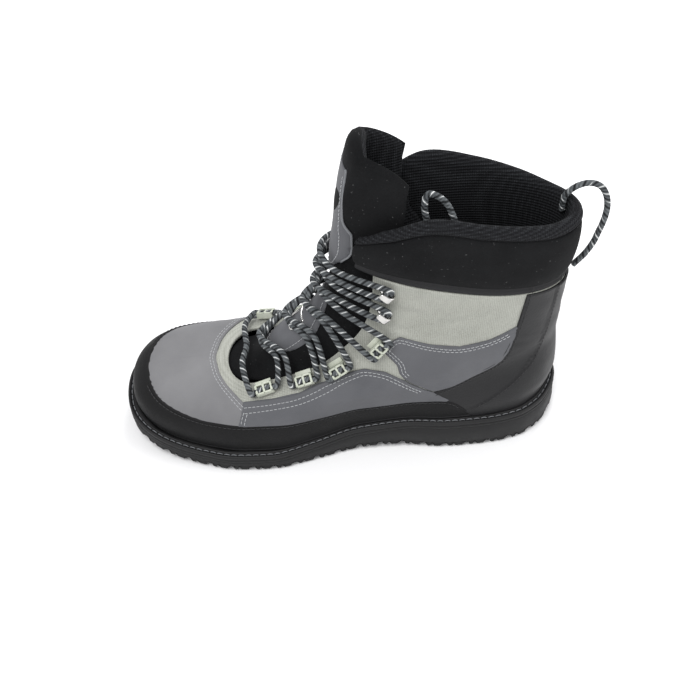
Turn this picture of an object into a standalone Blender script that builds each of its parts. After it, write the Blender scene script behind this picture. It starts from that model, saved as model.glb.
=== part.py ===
"""Left wading boot: lugged outsole, stitched welt, lasted upper, padded cuff, tall tongue and laces.

Metres, +Z up. The toe points to -X and the outer (lateral) side faces -Y. The origin is the middle
of the heel's flat tread, on the floor. The upper's own function gives every overlay, the cuff, the
tongue and the places of the lace fittings.
"""
import functools
import math

import bmesh
import bpy
import numpy as np
from mathutils import Matrix, Vector

# Driving sizes of the sole
SOLE_LENGTH = 0.315
BALL_WIDTH = 0.118
HEEL_TREAD = 0.0894
TOE_SWING = 0.0075
TOE_SPRING = 0.0096
HEEL_THICK = 0.0239
BALL_THICK = 0.0115
ARCH_RELIEF = 0.0025
LUG_DEPTH = 0.0035
LUG_GROOVE = 0.0035
LUG_PITCH = 0.0155
WELT_THICK = 0.0047
WELT_EDGE = 0.0051
INSOLE_THICK = 0.0045

# Driving sizes of the upper
ANKLE_WIDTH = 0.076
UPPER_HEIGHT = 0.152
COLLAR_RISE = 0.026
WALL = 0.0022
PANEL = 0.0012
CUFF_PAD = 0.0095
CUFF_START = 0.0210
CUFF_AHEAD = 0.0060
THROAT_WIDTH = 0.052
TONGUE_THICK = 0.0075
TONGUE_BULGE = 0.0115
COVER_WIDTH = 0.037

# Driving sizes of the lacing
LACE_WIDE = 0.0046
LOOP_CORD = 0.0046
KEEPER_LONG = 0.0125
KEEPER_WIDE = 0.0080
KEEPER_HIGH = 0.0050
HOOK_WIDE = 0.0065
HOOK_REACH = 0.0085
HOOK_PLATE = 0.0012

# Clearances
GAP = 0.0003
SEAT = 0.0006

# Places that follow from the sizes
HEEL_X = HEEL_TREAD / 2
UPPER_HEEL = HEEL_X - WELT_EDGE
UPPER_LENGTH = SOLE_LENGTH - 2 * WELT_EDGE
HALF_SEGMENTS = 19

# Sole outline: share of the length from the heel, lateral and medial half widths as shares of
# BALL_WIDTH
OUTLINE = [
    (0.000, 0.000, 0.000),
    (0.012, 0.124, 0.138),
    (0.050, 0.270, 0.259),
    (0.100, 0.353, 0.319),
    (0.170, 0.392, 0.353),
    (0.260, 0.403, 0.349),
    (0.360, 0.381, 0.310),
    (0.460, 0.386, 0.310),
    (0.560, 0.448, 0.353),
    (0.660, 0.514, 0.414),
    (0.740, 0.523, 0.447),
    (0.820, 0.490, 0.455),
    (0.900, 0.424, 0.414),
    (0.955, 0.329, 0.323),
    (0.988, 0.198, 0.181),
    (1.000, 0.000, 0.000),
]

# Rings of the upper from the feather line to the collar's top, then two rings that only the tongue
# follows. Front and back ends are shares of UPPER_LENGTH from the heel, heights are shares of
# UPPER_HEIGHT over the feather line, half widths are shares of the sole's and the ankle's, and
# round goes from 0 for the sole's outline to 1 for an oval.
# front, high, back, high, lateral, medial, middle, front power, back power, round, rise
RINGS = [
    (0.986, 0.000, 0.007, 0.000, 1.002, 0.928, 0.45, 2.2, 2.4, 0.00, 0.00),
    (0.993, 0.053, -0.005, 0.088, 1.030, 0.937, 0.45, 2.2, 2.4, 0.00, 0.00),
    (0.986, 0.109, -0.006, 0.147, 1.042, 0.937, 0.45, 2.2, 2.4, 0.10, 0.00),
    (0.957, 0.165, -0.005, 0.207, 1.065, 0.962, 0.45, 2.2, 2.4, 0.35, 0.00),
    (0.901, 0.214, -0.003, 0.259, 1.090, 1.010, 0.48, 2.0, 2.4, 0.65, 0.00),
    (0.822, 0.253, -0.001, 0.312, 1.111, 1.061, 0.50, 1.8, 2.4, 0.90, 0.00),
    (0.730, 0.288, -0.001, 0.358, 1.105, 1.066, 0.52, 1.7, 2.4, 1.00, 0.00),
    (0.642, 0.350, -0.003, 0.404, 1.066, 1.039, 0.52, 1.7, 2.4, 1.00, 0.00),
    (0.566, 0.453, -0.005, 0.457, 1.026, 1.026, 0.52, 1.9, 2.4, 1.00, 0.00),
    (0.507, 0.574, -0.006, 0.516, 1.000, 1.000, 0.52, 2.2, 2.3, 1.00, 0.00),
    (0.478, 0.729, -0.010, 0.588, 0.974, 0.974, 0.52, 2.5, 2.2, 1.00, 0.00),
    (0.468, 0.910, -0.014, 0.674, 0.961, 0.961, 0.52, 2.7, 2.1, 1.00, 0.03),
    (0.463, 0.968, -0.028, 0.845, 0.974, 0.974, 0.50, 2.8, 2.0, 1.00, 0.50),
    (0.458, 1.026, -0.037, 1.029, 1.000, 1.000, 0.48, 2.8, 1.9, 1.00, 1.00),
    (0.440, 1.270, -0.040, 1.200, 1.000, 1.000, 0.48, 2.8, 1.9, 1.00, 0.80),
    (0.405, 1.540, -0.040, 1.400, 0.974, 0.974, 0.48, 2.8, 1.9, 1.00, 0.50),
]
COLLAR_BASE = 11.0
COLLAR_TOP = 13.0

# How the collar's edge rises between its front and its back: share of the ring, share of the rise
LIFT = [(0.0, 0.0), (0.05, 0.14), (0.15, 0.54), (0.35, 1.0), (0.57, 0.68), (0.75, 0.35),
        (0.90, 0.08), (1.0, 0.0)]

# Panel edges seen from the side: share of UPPER_LENGTH from the heel, share of UPPER_HEIGHT
RAND_TOP = [(1.03, 0.174), (0.948, 0.174), (0.904, 0.167), (0.820, 0.164), (0.735, 0.169),
            (0.678, 0.176), (0.572, 0.166), (0.479, 0.146), (0.400, 0.133), (0.357, 0.134),
            (0.304, 0.137), (0.270, 0.140), (0.242, 0.127), (0.218, 0.088), (0.190, 0.030)]
QUARTER_TOP = [(0.721, 0.244), (0.646, 0.266), (0.588, 0.280), (0.518, 0.308), (0.471, 0.337),
               (0.438, 0.353), (0.393, 0.335), (0.350, 0.288), (0.304, 0.208)]
COUNTER_FRONT = [(0.080, 0.760), (0.105, 0.504), (0.135, 0.337), (0.203, 0.265), (0.293, 0.180),
                 (0.345, 0.136)]
ANKLE_TOP = [(0.395, 0.448), (0.386, 0.490), (0.357, 0.528), (0.292, 0.487), (0.227, 0.467),
             (0.161, 0.489), (0.110, 0.530)]
ANKLE_FRONT = [(0.286, 0.196), (0.303, 0.214), (0.350, 0.294), (0.361, 0.325), (0.366, 0.371),
               (0.391, 0.435)]
QUARTER_BACK = [(0.297, 0.187), (0.349, 0.141)]

# Front of the vamp's inner edge from above: share of UPPER_LENGTH, share of ANKLE_WIDTH
VAMP_ARC = [(0.788, 0.00), (0.784, 0.09), (0.776, 0.21), (0.762, 0.32), (0.744, 0.42),
            (0.722, 0.52), (0.700, 0.60)]

# Throat cutter from the side: share of UPPER_LENGTH from the heel, share of UPPER_HEIGHT
THROAT_SIDE = [(0.694, 0.08), (0.694, 0.65), (0.560, 1.75), (0.330, 1.75), (0.345, 1.10),
               (0.375, 0.62), (0.430, 0.36), (0.540, 0.14)]
THROAT_END = 0.759
THROAT_ROUND = 0.694

# Tongue sheets from the front: share of UPPER_HEIGHT over the ankle's base, share of COVER_WIDTH
COVER_ROWS = [(0.812, 0.30), (0.830, 0.60), (0.870, 0.78), (0.930, 0.85), (1.200, 0.84),
              (1.320, 0.82), (1.350, 0.74)]
PATCH_ROWS = [(0.285, 0.30), (0.300, 0.60), (0.330, 0.78), (0.420, 0.78), (0.520, 0.62),
              (0.600, 0.50)]

# Lace fittings on the lateral wall: share of UPPER_LENGTH, share of UPPER_HEIGHT; the medial ones
# mirror them
KEEPERS = [(0.667, 0.276), (0.573, 0.303), (0.492, 0.352), (0.399, 0.478)]
HOOKS = [(0.384, 0.665), (0.376, 0.790)]

# Level of the tongue where each row of lace crosses
CROSSING_LEVELS = [6.75, 7.9, 8.7, 9.65, 10.4]


# Routes of the two cords, in metres: the lace's loop inside the collar, the pull loop behind it
LACE_LOOP = [(-0.043, -0.0245, 0.176), (-0.0480, -0.0235, 0.190), (-0.0515, -0.019, 0.203),
             (-0.0515, -0.017, 0.2110), (-0.0500, -0.0155, 0.2140), (-0.0475, -0.0145, 0.2142),
             (-0.0415, -0.0150, 0.2108), (-0.0367, -0.017, 0.205), (-0.0330, -0.0215, 0.196),
             (-0.0300, -0.0245, 0.184)]
PULL_LOOP = [(0.0379, 0.004, 0.178), (0.0388, 0.004, 0.190), (0.0447, 0.004, 0.197), (0.052, 0.004, 0.1998),
             (0.0581, 0.003, 0.1994), (0.0625, 0.002, 0.1958), (0.0653, 0.001, 0.189),
             (0.066, 0.000, 0.1805), (0.0646, -0.001, 0.1713), (0.062, -0.002, 0.1628),
             (0.0595, -0.003, 0.1552), (0.0545, -0.004, 0.146), (0.0474, -0.005, 0.1375)]


def smooth(a):
    """Ease from 0 to 1."""
    a = np.clip(a, 0, 1)
    return a * a * (3 - 2 * a)


def monotone(xs, ys, at):
    """Smooth curve through a table that never overshoots it."""
    xs = np.asarray(xs, float)
    ys = np.asarray(ys, float)
    at = np.asarray(at, float)
    step = np.diff(xs)
    slope = np.diff(ys) / step
    tangent = np.zeros_like(ys)
    near = 2 * step[1:] + step[:-1]
    far = step[1:] + 2 * step[:-1]
    steady = slope[:-1] * slope[1:] > 0
    before = np.where(slope[:-1] == 0, 1, slope[:-1])
    after = np.where(slope[1:] == 0, 1, slope[1:])
    tangent[1:-1] = np.where(steady, (near + far) / (near / before + far / after), 0)
    tangent[0] = slope[0]
    tangent[-1] = slope[-1]
    i = np.clip(np.searchsorted(xs, at, side="right") - 1, 0, len(xs) - 2)
    u = (at - xs[i]) / step[i]
    return (ys[i] * (1 + 2 * u) * (1 - u) ** 2 + tangent[i] * step[i] * u * (1 - u) ** 2
            + ys[i + 1] * u * u * (3 - 2 * u) + tangent[i + 1] * step[i] * u * u * (u - 1))


def sole_share(x):
    """Share of the sole's length from the heel."""
    return (HEEL_X - np.asarray(x)) / SOLE_LENGTH


def half_width(t, side):
    """Half width of the sole at a share of its length, lateral side -1, medial side 1."""
    angles = np.arccos(1 - 2 * np.array([row[0] for row in OUTLINE]))
    widths = [row[1 if side < 0 else 2] for row in OUTLINE]
    return BALL_WIDTH * np.maximum(monotone(angles, widths, np.arccos(1 - 2 * np.clip(t, 0, 1))), 0)


def centre(x):
    """The sole's middle line, which swings to the medial side at the toe."""
    return TOE_SWING * smooth((sole_share(x) - 0.55) / 0.45)


def tread(x):
    """Height of the tread: flat under heel and ball, relieved at the arch, rising at the toe."""
    t = sole_share(x)
    spring = np.clip((t - 0.764) / 0.229, 0, None)
    arch = np.clip(1 - ((t - 0.40) / 0.09) ** 2, 0, None)
    return TOE_SPRING * spring ** 2 + ARCH_RELIEF * arch


def sole_top(x):
    """Top of the outsole: it drops from the heel to the ball and follows the toe's rise."""
    t = sole_share(x)
    spring = np.clip((t - 0.764) / 0.229, 0, None)
    wedge = smooth((0.685 - t) / 0.381)
    return TOE_SPRING * spring ** 2 + BALL_THICK + (HEEL_THICK - BALL_THICK) * wedge


def feather(x):
    """The line where the upper meets the welt."""
    return sole_top(x) + WELT_THICK


def ring_value(column, level):
    """A column of RINGS at any level, by a curve through its rows."""
    table = np.array(RINGS)[:, column]
    last = len(table) - 1
    level = np.clip(np.asarray(level, float), 0, last - 1e-9)
    i = np.floor(level).astype(int)
    u = level - i

    def row(k):
        inside = table[np.clip(k, 0, last)]
        below = np.where(k < 0, 2 * table[0] - table[1], inside)
        return np.where(k > last, 2 * table[-1] - table[-2], below)

    a, b, c, d = row(i - 1), row(i), row(i + 1), row(i + 2)
    return 0.5 * (2 * b + (c - a) * u + (2 * a - 5 * b + 4 * c - d) * u * u
                  + (3 * b - a - 3 * c + d) * u ** 3)


@functools.lru_cache(maxsize=None)
def last_point(level, share, side):
    """A point of the upper's outer surface: level up the rings, share from front to back."""
    front, high_f, back, high_b, lateral, medial, middle, power_f, power_b, oval, rise = [
        ring_value(k, level) for k in range(11)]
    oval = np.clip(oval, 0, 1)
    front_x = UPPER_HEEL - front * UPPER_LENGTH
    back_x = UPPER_HEEL - back * UPPER_LENGTH
    x = front_x + (back_x - front_x) * share
    widest = BALL_WIDTH * max(row[1 if side < 0 else 2] for row in OUTLINE)
    sole_like = half_width(1 - share, side) / widest
    ahead = share < middle
    along = np.where(ahead, (middle - share) / middle, (share - middle) / (1 - middle))
    power = np.where(ahead, power_f, power_b)
    round_like = np.sqrt(np.clip(1 - np.clip(along, 0, 1) ** power, 0, None))
    reach = (BALL_WIDTH / 2 - WELT_EDGE) * (1 - oval) + ANKLE_WIDTH / 2 * oval
    width = reach * (lateral if side < 0 else medial)
    width = width * (sole_like * (1 - oval) + round_like * oval)
    front_z = feather(front_x) + high_f * UPPER_HEIGHT
    back_z = feather(back_x) + high_b * UPPER_HEIGHT
    straight = feather(front_x) + (feather(back_x) - feather(front_x)) * share
    fade = np.clip(1 - level / 6, 0, 1)
    lift = monotone([row[0] for row in LIFT], [row[1] for row in LIFT], share)
    z = front_z + (back_z - front_z) * share + (feather(x) - straight) * fade
    z = z + COLLAR_RISE * np.clip(rise, 0, 1) * lift
    return Vector((float(x), float(centre(x) + side * width), float(z)))


def last_normal(level, share, side):
    """Outward direction of the upper's surface."""
    step = 0.004
    low = max(share - step, 0.0005)
    high = min(share + step, 0.9995)
    along = last_point(level, high, side) - last_point(level, low, side)
    up = last_point(level + 0.03, share, side) - last_point(max(level - 0.03, 0), share, side)
    return along.cross(up).normalized() * -side


def side_place(u, h):
    """World X and Z of a place given in shares of the upper's length and height."""
    x = UPPER_HEEL - u * UPPER_LENGTH
    return x, float(feather(x)) + h * UPPER_HEIGHT


def find_on_last(u, h, side):
    """Level and share of the surface point seen from the side at a place in shares."""
    x, z = side_place(u, h)
    low, high = 0.5, COLLAR_TOP
    for _ in range(40):
        level = (low + high) / 2
        front_x = UPPER_HEEL - float(ring_value(0, level)) * UPPER_LENGTH
        back_x = UPPER_HEEL - float(ring_value(2, level)) * UPPER_LENGTH
        share = min(max((x - front_x) / (back_x - front_x), 0.0), 1.0)
        if last_point(level, share, side).z < z:
            low = level
        else:
            high = level
    return level, share


def share_at_width(level, offset, side):
    """Share of the ring, ahead of its middle, where the surface is this far from the centre."""
    low, high = 0.0, 0.5
    for _ in range(30):
        share = (low + high) / 2
        point = last_point(level, share, side)
        if abs(point.y - float(centre(point.x))) < offset:
            low = share
        else:
            high = share
    return share


def remove_everything():
    """Empty the scene before modelling."""
    for obj in list(bpy.data.objects):
        bpy.data.objects.remove(obj, do_unlink=True)


def new_collection(name):
    collection = bpy.data.collections.new(name)
    bpy.context.scene.collection.children.link(collection)
    return collection


def new_material(name, colour, roughness, metallic=0.0):
    material = bpy.data.materials.new(name)
    material.use_nodes = True
    shader = material.node_tree.nodes["Principled BSDF"]
    shader.inputs["Base Color"].default_value = (*colour, 1)
    shader.inputs["Roughness"].default_value = roughness
    shader.inputs["Metallic"].default_value = metallic
    material.diffuse_color = (*colour, 1)
    return material


remove_everything()
PARTS = new_collection("wading_boot")
CUTTERS = new_collection("cutters")


def mesh_object(name, verts, faces, material=None, collection=None):
    """A mesh object with its normals made consistent."""
    mesh = bpy.data.meshes.new(name)
    mesh.from_pydata([tuple(v) for v in verts], [], faces)
    tidy = bmesh.new()
    tidy.from_mesh(mesh)
    bmesh.ops.recalc_face_normals(tidy, faces=tidy.faces)
    tidy.to_mesh(mesh)
    tidy.free()
    obj = bpy.data.objects.new(name, mesh)
    (collection or PARTS).objects.link(obj)
    if material:
        mesh.materials.append(material)
    return obj


def as_cutter(obj):
    obj.hide_render = True
    obj.display_type = "WIRE"
    return obj


def add_boolean(obj, cutter, operation="DIFFERENCE"):
    boolean = obj.modifiers.new(cutter.name, "BOOLEAN")
    boolean.operation = operation
    boolean.object = cutter
    return boolean


def loft(name, rings, material):
    """Closed solid through rings of equal count, each capped across from side to side."""
    count = len(rings[0])
    verts = [point for ring in rings for point in ring]
    faces = []
    for k in range(len(rings) - 1):
        for j in range(count):
            nxt = (j + 1) % count
            faces.append((k * count + j, k * count + nxt, (k + 1) * count + nxt, (k + 1) * count + j))
    for start in (0, (len(rings) - 1) * count):
        for j in range(1, count // 2 - 1):
            faces.append((start + j, start + j + 1, start + count - j - 1, start + count - j))
        faces.append((start, start + 1, start + count - 1))
        middle = count // 2
        faces.append((start + middle - 1, start + middle, start + middle + 1))
    obj = mesh_object(name, verts, faces, material)
    triangles = obj.modifiers.new("triangles", "TRIANGULATE")
    triangles.quad_method = "FIXED"
    return obj


def inset(ring, distance):
    """Move a closed flat ring inwards in X and Y."""
    flat = np.array([(p[0], p[1]) for p in ring])
    along = np.roll(flat, -1, axis=0) - np.roll(flat, 1, axis=0)
    along /= np.linalg.norm(along, axis=1)[:, None]
    outward = np.stack([along[:, 1], -along[:, 0]], axis=1)
    if ((flat - flat.mean(axis=0)) * outward).sum() < 0:
        outward = -outward
    return flat - outward * distance


def sole_ring(inward, height):
    """The sole's outline moved inwards, at a height that is worked out from X."""
    ring = []
    for j in range(2 * HALF_SEGMENTS):
        angle = math.pi * j / HALF_SEGMENTS
        side = -1 if angle < math.pi else 1
        t = (1 - math.cos(angle)) / 2
        x = HEEL_X - t * SOLE_LENGTH
        ring.append((x, float(centre(x)) + side * float(half_width(t, side))))
    return [(x, y, float(height(x))) for x, y in inset(ring, inward)]


def make_outsole(material):
    """Tread, side steps and heel as one solid, with the grooves between the lugs cut out."""
    steps = [
        (0.0022, lambda x: tread(x)),
        (0.0006, lambda x: tread(x) + 0.0012),
        (0.0, lambda x: tread(x) + 0.0030),
        (0.0004, lambda x: sole_top(x) - 0.0024),
        (0.0, lambda x: sole_top(x) - 0.0018),
        (0.0, lambda x: sole_top(x) - 0.0004),
        (0.0008, lambda x: sole_top(x)),
    ]
    outsole = loft("outsole", [sole_ring(*step) for step in steps], material)
    parts = []
    first = int(HEEL_X / LUG_PITCH) - 1
    last = int((SOLE_LENGTH - HEEL_X) / LUG_PITCH) - 1
    for k in range(-first, last):
        x = -(k + 0.5) * LUG_PITCH
        depth = float(tread(x)) + LUG_DEPTH
        parts.append(((x, 0.0, depth - 0.02), (LUG_GROOVE, BALL_WIDTH * 1.4, 0.04)))
    grooves = box_cluster("lug_grooves", parts)
    add_boolean(outsole, grooves)
    return outsole


def box_cluster(name, boxes):
    """Boxes that share one cutter; each is a centre and a size."""
    shape = bmesh.new()
    for middle, size in boxes:
        matrix = Matrix.Translation(middle) @ Matrix.Diagonal((*size, 1.0))
        bmesh.ops.create_cube(shape, size=1.0, matrix=matrix)
    mesh = bpy.data.meshes.new(name)
    shape.to_mesh(mesh)
    shape.free()
    obj = bpy.data.objects.new(name, mesh)
    CUTTERS.objects.link(obj)
    return as_cutter(obj)


def make_welt(material):
    """The layer on the outsole: bead, stitch channel and the shelf that carries the upper."""
    steps = [
        (0.0008, GAP),
        (0.0002, 0.0010),
        (0.0002, WELT_THICK * 0.66),
        (0.0010, WELT_THICK * 0.88),
        (0.0021, WELT_THICK * 0.84),
        (0.0028, WELT_THICK * 0.68),
        (WELT_EDGE * 0.78, WELT_THICK * 0.68),
        (WELT_EDGE * 0.92, WELT_THICK - SEAT),
    ]
    rings = [sole_ring(inward, lambda x, up=up: sole_top(x) + up) for inward, up in steps]
    return loft("welt_midsole", rings, material)


def last_ring(level, inward=0.0, rise=0.0):
    """One ring of the upper in order round the boot, from the heel along the lateral side."""
    ring = []
    for j in range(2 * HALF_SEGMENTS):
        angle = math.pi * j / HALF_SEGMENTS
        side = -1 if angle < math.pi else 1
        ring.append(last_point(level, (1 + math.cos(angle)) / 2, side))
    moved = inset(ring, inward) if inward else [(p.x, p.y) for p in ring]
    return [(x, y, p.z + rise) for (x, y), p in zip(moved, ring)]


def make_insole(material):
    """Footbed inside the wall, a little clear of it and of the midsole."""
    clear = WALL + 2 * SEAT
    rings = [
        last_ring(0, clear + 0.0008, GAP - SEAT),
        last_ring(0, clear, 0.0012),
        last_ring(0, clear, INSOLE_THICK - 0.0010),
        last_ring(0, clear + 0.0012, INSOLE_THICK),
    ]
    return loft("insole", rings, material)


def last_sheet(name, levels, material=None, collection=None):
    """Open surface of the upper, in triangles, as every overlay repeats it."""
    rings = [last_ring(level) for level in levels]
    count = len(rings[0])
    verts = [point for ring in rings for point in ring]
    faces = []
    for k in range(len(rings) - 1):
        for j in range(count):
            nxt = (j + 1) % count
            a, b = k * count + j, k * count + nxt
            c, d = (k + 1) * count + nxt, (k + 1) * count + j
            faces.append((a, b, c))
            faces.append((a, c, d))
    return mesh_object(name, verts, faces, material, collection)


def point_outwards(obj):
    """Turn an open sheet's normals to the outside of the boot."""
    mesh = obj.data
    middle = sum((v.co for v in mesh.vertices), Vector()) / len(mesh.vertices)
    turned = sum((face.center - middle).dot(face.normal) for face in mesh.polygons)
    if turned < 0:
        mesh.flip_normals()


def add_wall(obj, thickness, offset):
    wall = obj.modifiers.new("wall", "SOLIDIFY")
    wall.thickness = thickness
    wall.offset = offset
    return wall


LEVELS = [0, 0.6, 1.3, 2.0, 2.7, 3.4, 4.2, 5.0, 5.9, 6.8, 7.8, 8.8, 9.8, COLLAR_BASE]


def prism(name, corners, across):
    """Cutter from a side view outline in shares, between two Y values."""
    flat = [side_place(u, h) for u, h in corners]
    count = len(flat)
    verts = [(x, y, z) for y in across for x, z in flat]
    faces = [tuple(range(count)), tuple(range(count, 2 * count))]
    faces += [(j, (j + 1) % count, count + (j + 1) % count, count + j) for j in range(count)]
    return as_cutter(mesh_object(name, verts, faces, None, CUTTERS))


def upright(name, outline, low, high):
    """Cutter from an outline seen from above, between two Z values."""
    count = len(outline)
    verts = [(x, y, z) for z in (low, high) for x, y in outline]
    faces = [tuple(range(count)), tuple(range(count, 2 * count))]
    faces += [(j, (j + 1) % count, count + (j + 1) % count, count + j) for j in range(count)]
    return as_cutter(mesh_object(name, verts, faces, None, CUTTERS))


def throat_cutters():
    """The opening for the tongue: a slot up the front with a round end on the vamp."""
    half = THROAT_WIDTH / 2
    slot = prism("throat_slot", THROAT_SIDE, (-half, half))
    round_x = UPPER_HEEL - THROAT_ROUND * UPPER_LENGTH
    reach = (THROAT_END - THROAT_ROUND) * UPPER_LENGTH
    outline = []
    for k in range(17):
        angle = math.pi * (0.5 + k / 16)
        outline.append((round_x + reach * math.cos(angle), half * math.sin(angle)))
    outline += [(round_x + 0.002, -half), (round_x + 0.002, half)]
    low = float(feather(round_x)) + 0.08 * UPPER_HEIGHT
    end = upright("throat_end", outline, low, low + UPPER_HEIGHT)
    return [slot, end]


def make_upper(material, throat):
    """The hollow wall: lasted surface with its thickness inwards, open at throat and collar."""
    upper = last_sheet("upper", LEVELS, material)
    point_outwards(upper)
    add_wall(upper, WALL, -1)
    for cutter in throat:
        add_boolean(upper, cutter)
    return upper


def make_overlay(name, material, keep, cuts):
    """A panel on the upper, cut from a shell of the upper's own surface."""
    overlay = last_sheet(name, LEVELS, material)
    point_outwards(overlay)
    lift = [vertex.co + vertex.normal * GAP * 1.3 for vertex in overlay.data.vertices]
    for vertex, place in zip(overlay.data.vertices, lift):
        vertex.co = place
    add_wall(overlay, PANEL, 1)
    add_boolean(overlay, keep, "INTERSECT")
    for cutter in cuts:
        add_boolean(overlay, cutter)
    return overlay


def above(edge, rise):
    """An edge moved up by a share of the height."""
    return [(u, h + rise) for u, h in edge]


def make_overlays(materials):
    """Rand, vamp, quarters, ankle panels and counter."""
    apart = 2 * GAP / UPPER_HEIGHT
    aside = 2 * GAP / UPPER_LENGTH
    far = BALL_WIDTH
    foot = 0.004
    made = []

    rand = prism("rand_outline", [(RAND_TOP[-1][0], foot), (1.03, foot)] + RAND_TOP, (-far, far))
    made.append(make_overlay("toe_rand", materials["rand"], rand, []))

    over_rand = above(RAND_TOP, apart)
    seam = [(0.737, 0.170 + apart), (0.724, 0.60)]
    vamp_edge = [row for row in over_rand if row[0] > seam[0][0]]
    vamp = prism("vamp_outline", vamp_edge + seam + [(1.03, 0.60)], (-far, far))
    arc = [(UPPER_HEEL - u * UPPER_LENGTH, w * ANKLE_WIDTH) for u, w in VAMP_ARC]
    opening = [(x, float(centre(x)) * 0.5 - y) for x, y in arc[::-1]]
    opening += [(x, float(centre(x)) * 0.5 + y) for x, y in arc[1:]]
    arc_cutter = upright("vamp_opening", opening, 0.02, UPPER_HEIGHT)
    made.append(make_overlay("vamp", materials["nubuck"], vamp, [arc_cutter]))

    for side, word in ((-1, "lateral"), (1, "medial")):
        across = (-far, -0.001) if side < 0 else (0.001, far)
        lower = [row for row in over_rand if 0.345 < row[0] < seam[0][0] - aside]
        front = [(seam[0][0] - aside, seam[0][1]), (QUARTER_TOP[0][0] - aside, QUARTER_TOP[0][1])]
        edge = front + QUARTER_TOP[1:] + QUARTER_BACK
        quarter = prism("quarter_outline_" + word, edge + lower[::-1], across)
        made.append(make_overlay("quarter_" + word, materials["nubuck"], quarter, []))

        back = [(u + aside * 2, h + apart) for u, h in COUNTER_FRONT[1:4]]
        ankle = prism("ankle_outline_" + word, ANKLE_FRONT + ANKLE_TOP + back, across)
        made.append(make_overlay("ankle_" + word, materials["nubuck"], ankle, []))

    behind = [row for row in over_rand if row[0] < 0.345]
    outline = [(-0.12, 0.90)] + COUNTER_FRONT + behind
    outline += [(RAND_TOP[-1][0] - aside * 2, foot), (-0.12, foot)]
    counter = prism("counter_outline", outline, (-far, far))
    made.append(make_overlay("heel_counter", materials["leather"], counter, []))
    return made


def make_cuff(material):
    """Padded cuff on the upper's top edge, open in front, with a rolled rim."""
    # level, distance out from the ring as a share of CUFF_PAD
    section = [(COLLAR_BASE, -0.55), (COLLAR_BASE, -0.06), (COLLAR_BASE + 0.35, 0.10),
               (COLLAR_BASE + 1.00, 0.14), (COLLAR_BASE + 1.55, 0.06), (COLLAR_TOP - 0.08, -0.12),
               (COLLAR_TOP, -0.45), (COLLAR_TOP - 0.08, -0.80), (COLLAR_TOP - 0.45, -0.98),
               (COLLAR_BASE + 0.90, -1.00), (COLLAR_BASE + 0.30, -0.92), (COLLAR_BASE, -0.80)]
    stations = []
    for side in (-1, 1):
        first = [share_at_width(level, CUFF_START, side) for level, _ in section]
        turn = [math.acos(1 - 2 * share) for share in first]
        steps = 16
        column = []
        for k in range(steps + 1 if side < 0 else steps):
            shares = [(1 - math.cos(a + (math.pi - a) * k / steps)) / 2 for a in turn]
            column.append((side, shares, min(1.0, 0.55 + 0.45 * k), min(1.0, k / 3)))
        stations += column if side < 0 else column[::-1]
    rings = []
    for side, shares, full, turned in stations:
        # the two ends point straight ahead and reach forward
        ahead = CUFF_AHEAD * max(0.0, 1 - 0.75 * turned) * (turned < 1)
        ring = []
        for (level, out), share in zip(section, shares):
            share = min(max(share, 0.0005), 0.9995)
            point = last_point(level, share, side)
            normal = last_normal(level, share, side)
            flat = Vector((normal.x, normal.y, 0)).normalized()
            flat = Vector((-1, 0, 0)).lerp(flat, turned).normalized()
            place = -0.45 + (out + 0.45) * full
            ring.append(point + flat * CUFF_PAD * place + Vector((-ahead, 0, SEAT + 0.26 * ahead)))
        rings.append(ring)
    return loft("collar_cuff", rings, material)


TONGUE_LEVELS = [5.45, 5.8, 6.2, 6.7, 7.3, 8.0, 8.8, 9.6, 10.4, 11.2, 12.0, 12.8, 13.5, 14.2, 14.7]
TONGUE_COLUMNS = 13


def tongue_reach(level):
    """Half width of the tongue: narrow under the vamp, full at the ankle, less inside the cuff."""
    return float(monotone([5.4, 6.2, 7.5, 9.5, 10.8, 12.0, 13.0, 14.7],
                          [0.54, 0.66, 0.72, 0.76, 0.66, 0.62, 0.60, 0.60], level)) * ANKLE_WIDTH / 2


def inside_point(level, offset, side, tuck):
    """A point of the surface moved inwards by the tuck, at a distance from the centre line."""
    low, high = 0.0, 0.45
    for _ in range(24):
        share = (low + high) / 2
        point = last_point(level, share, side) - last_normal(level, max(share, 0.002), side) * tuck
        if abs(point.y - float(centre(point.x))) < offset:
            low = share
        else:
            high = share
    return point


def tongue_point(level, across, depth=0.0):
    """A point of the tongue's front: across runs from -1, lateral, to 1, medial."""
    side = -1 if across < 0 else 1
    offset = tongue_reach(level) * abs(across)
    nose = last_normal(level, 0.002, side)
    nose = Vector((nose.x, 0, nose.z)).normalized()
    backing = float(monotone([5.4, 10.5, 11.0, 14.7], [1, 1, 0, 0], level))
    tuck = (WALL + 3 * SEAT) * backing + (CUFF_PAD + 3 * SEAT) * (1 - backing)
    rising = float(smooth((level - 6.0) / 1.5))
    knots = [5.4, 10.2, 10.9, 13.0, 13.6, 15.0]
    until = float(monotone(knots, [0.0240, 0.0240, 0.0203, 0.0203, 0.0235, 0.0235], level))
    flank = float(monotone(knots, [0.0160, 0.0160, 0.0080, 0.0080, 0.0090, 0.0090], level))
    swell = rising * float(smooth((until - offset) / flank))
    inner = inside_point(level, offset, side, tuck)
    outer = last_point(level, share_at_width(level, offset, side), side) + nose * TONGUE_BULGE * 0.72
    place = inner.lerp(outer, swell)
    place.y = float(centre(place.x)) + side * offset
    hub = last_point(level, 0.0005, side) - nose * 0.055
    hub.y = float(centre(hub.x))
    return place + (hub - place).normalized() * depth


def lowered(level, across):
    """The tongue's top is lower at its sides."""
    return level - 0.45 * across * across * float(smooth((level - 12.8) / 1.5))


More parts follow.
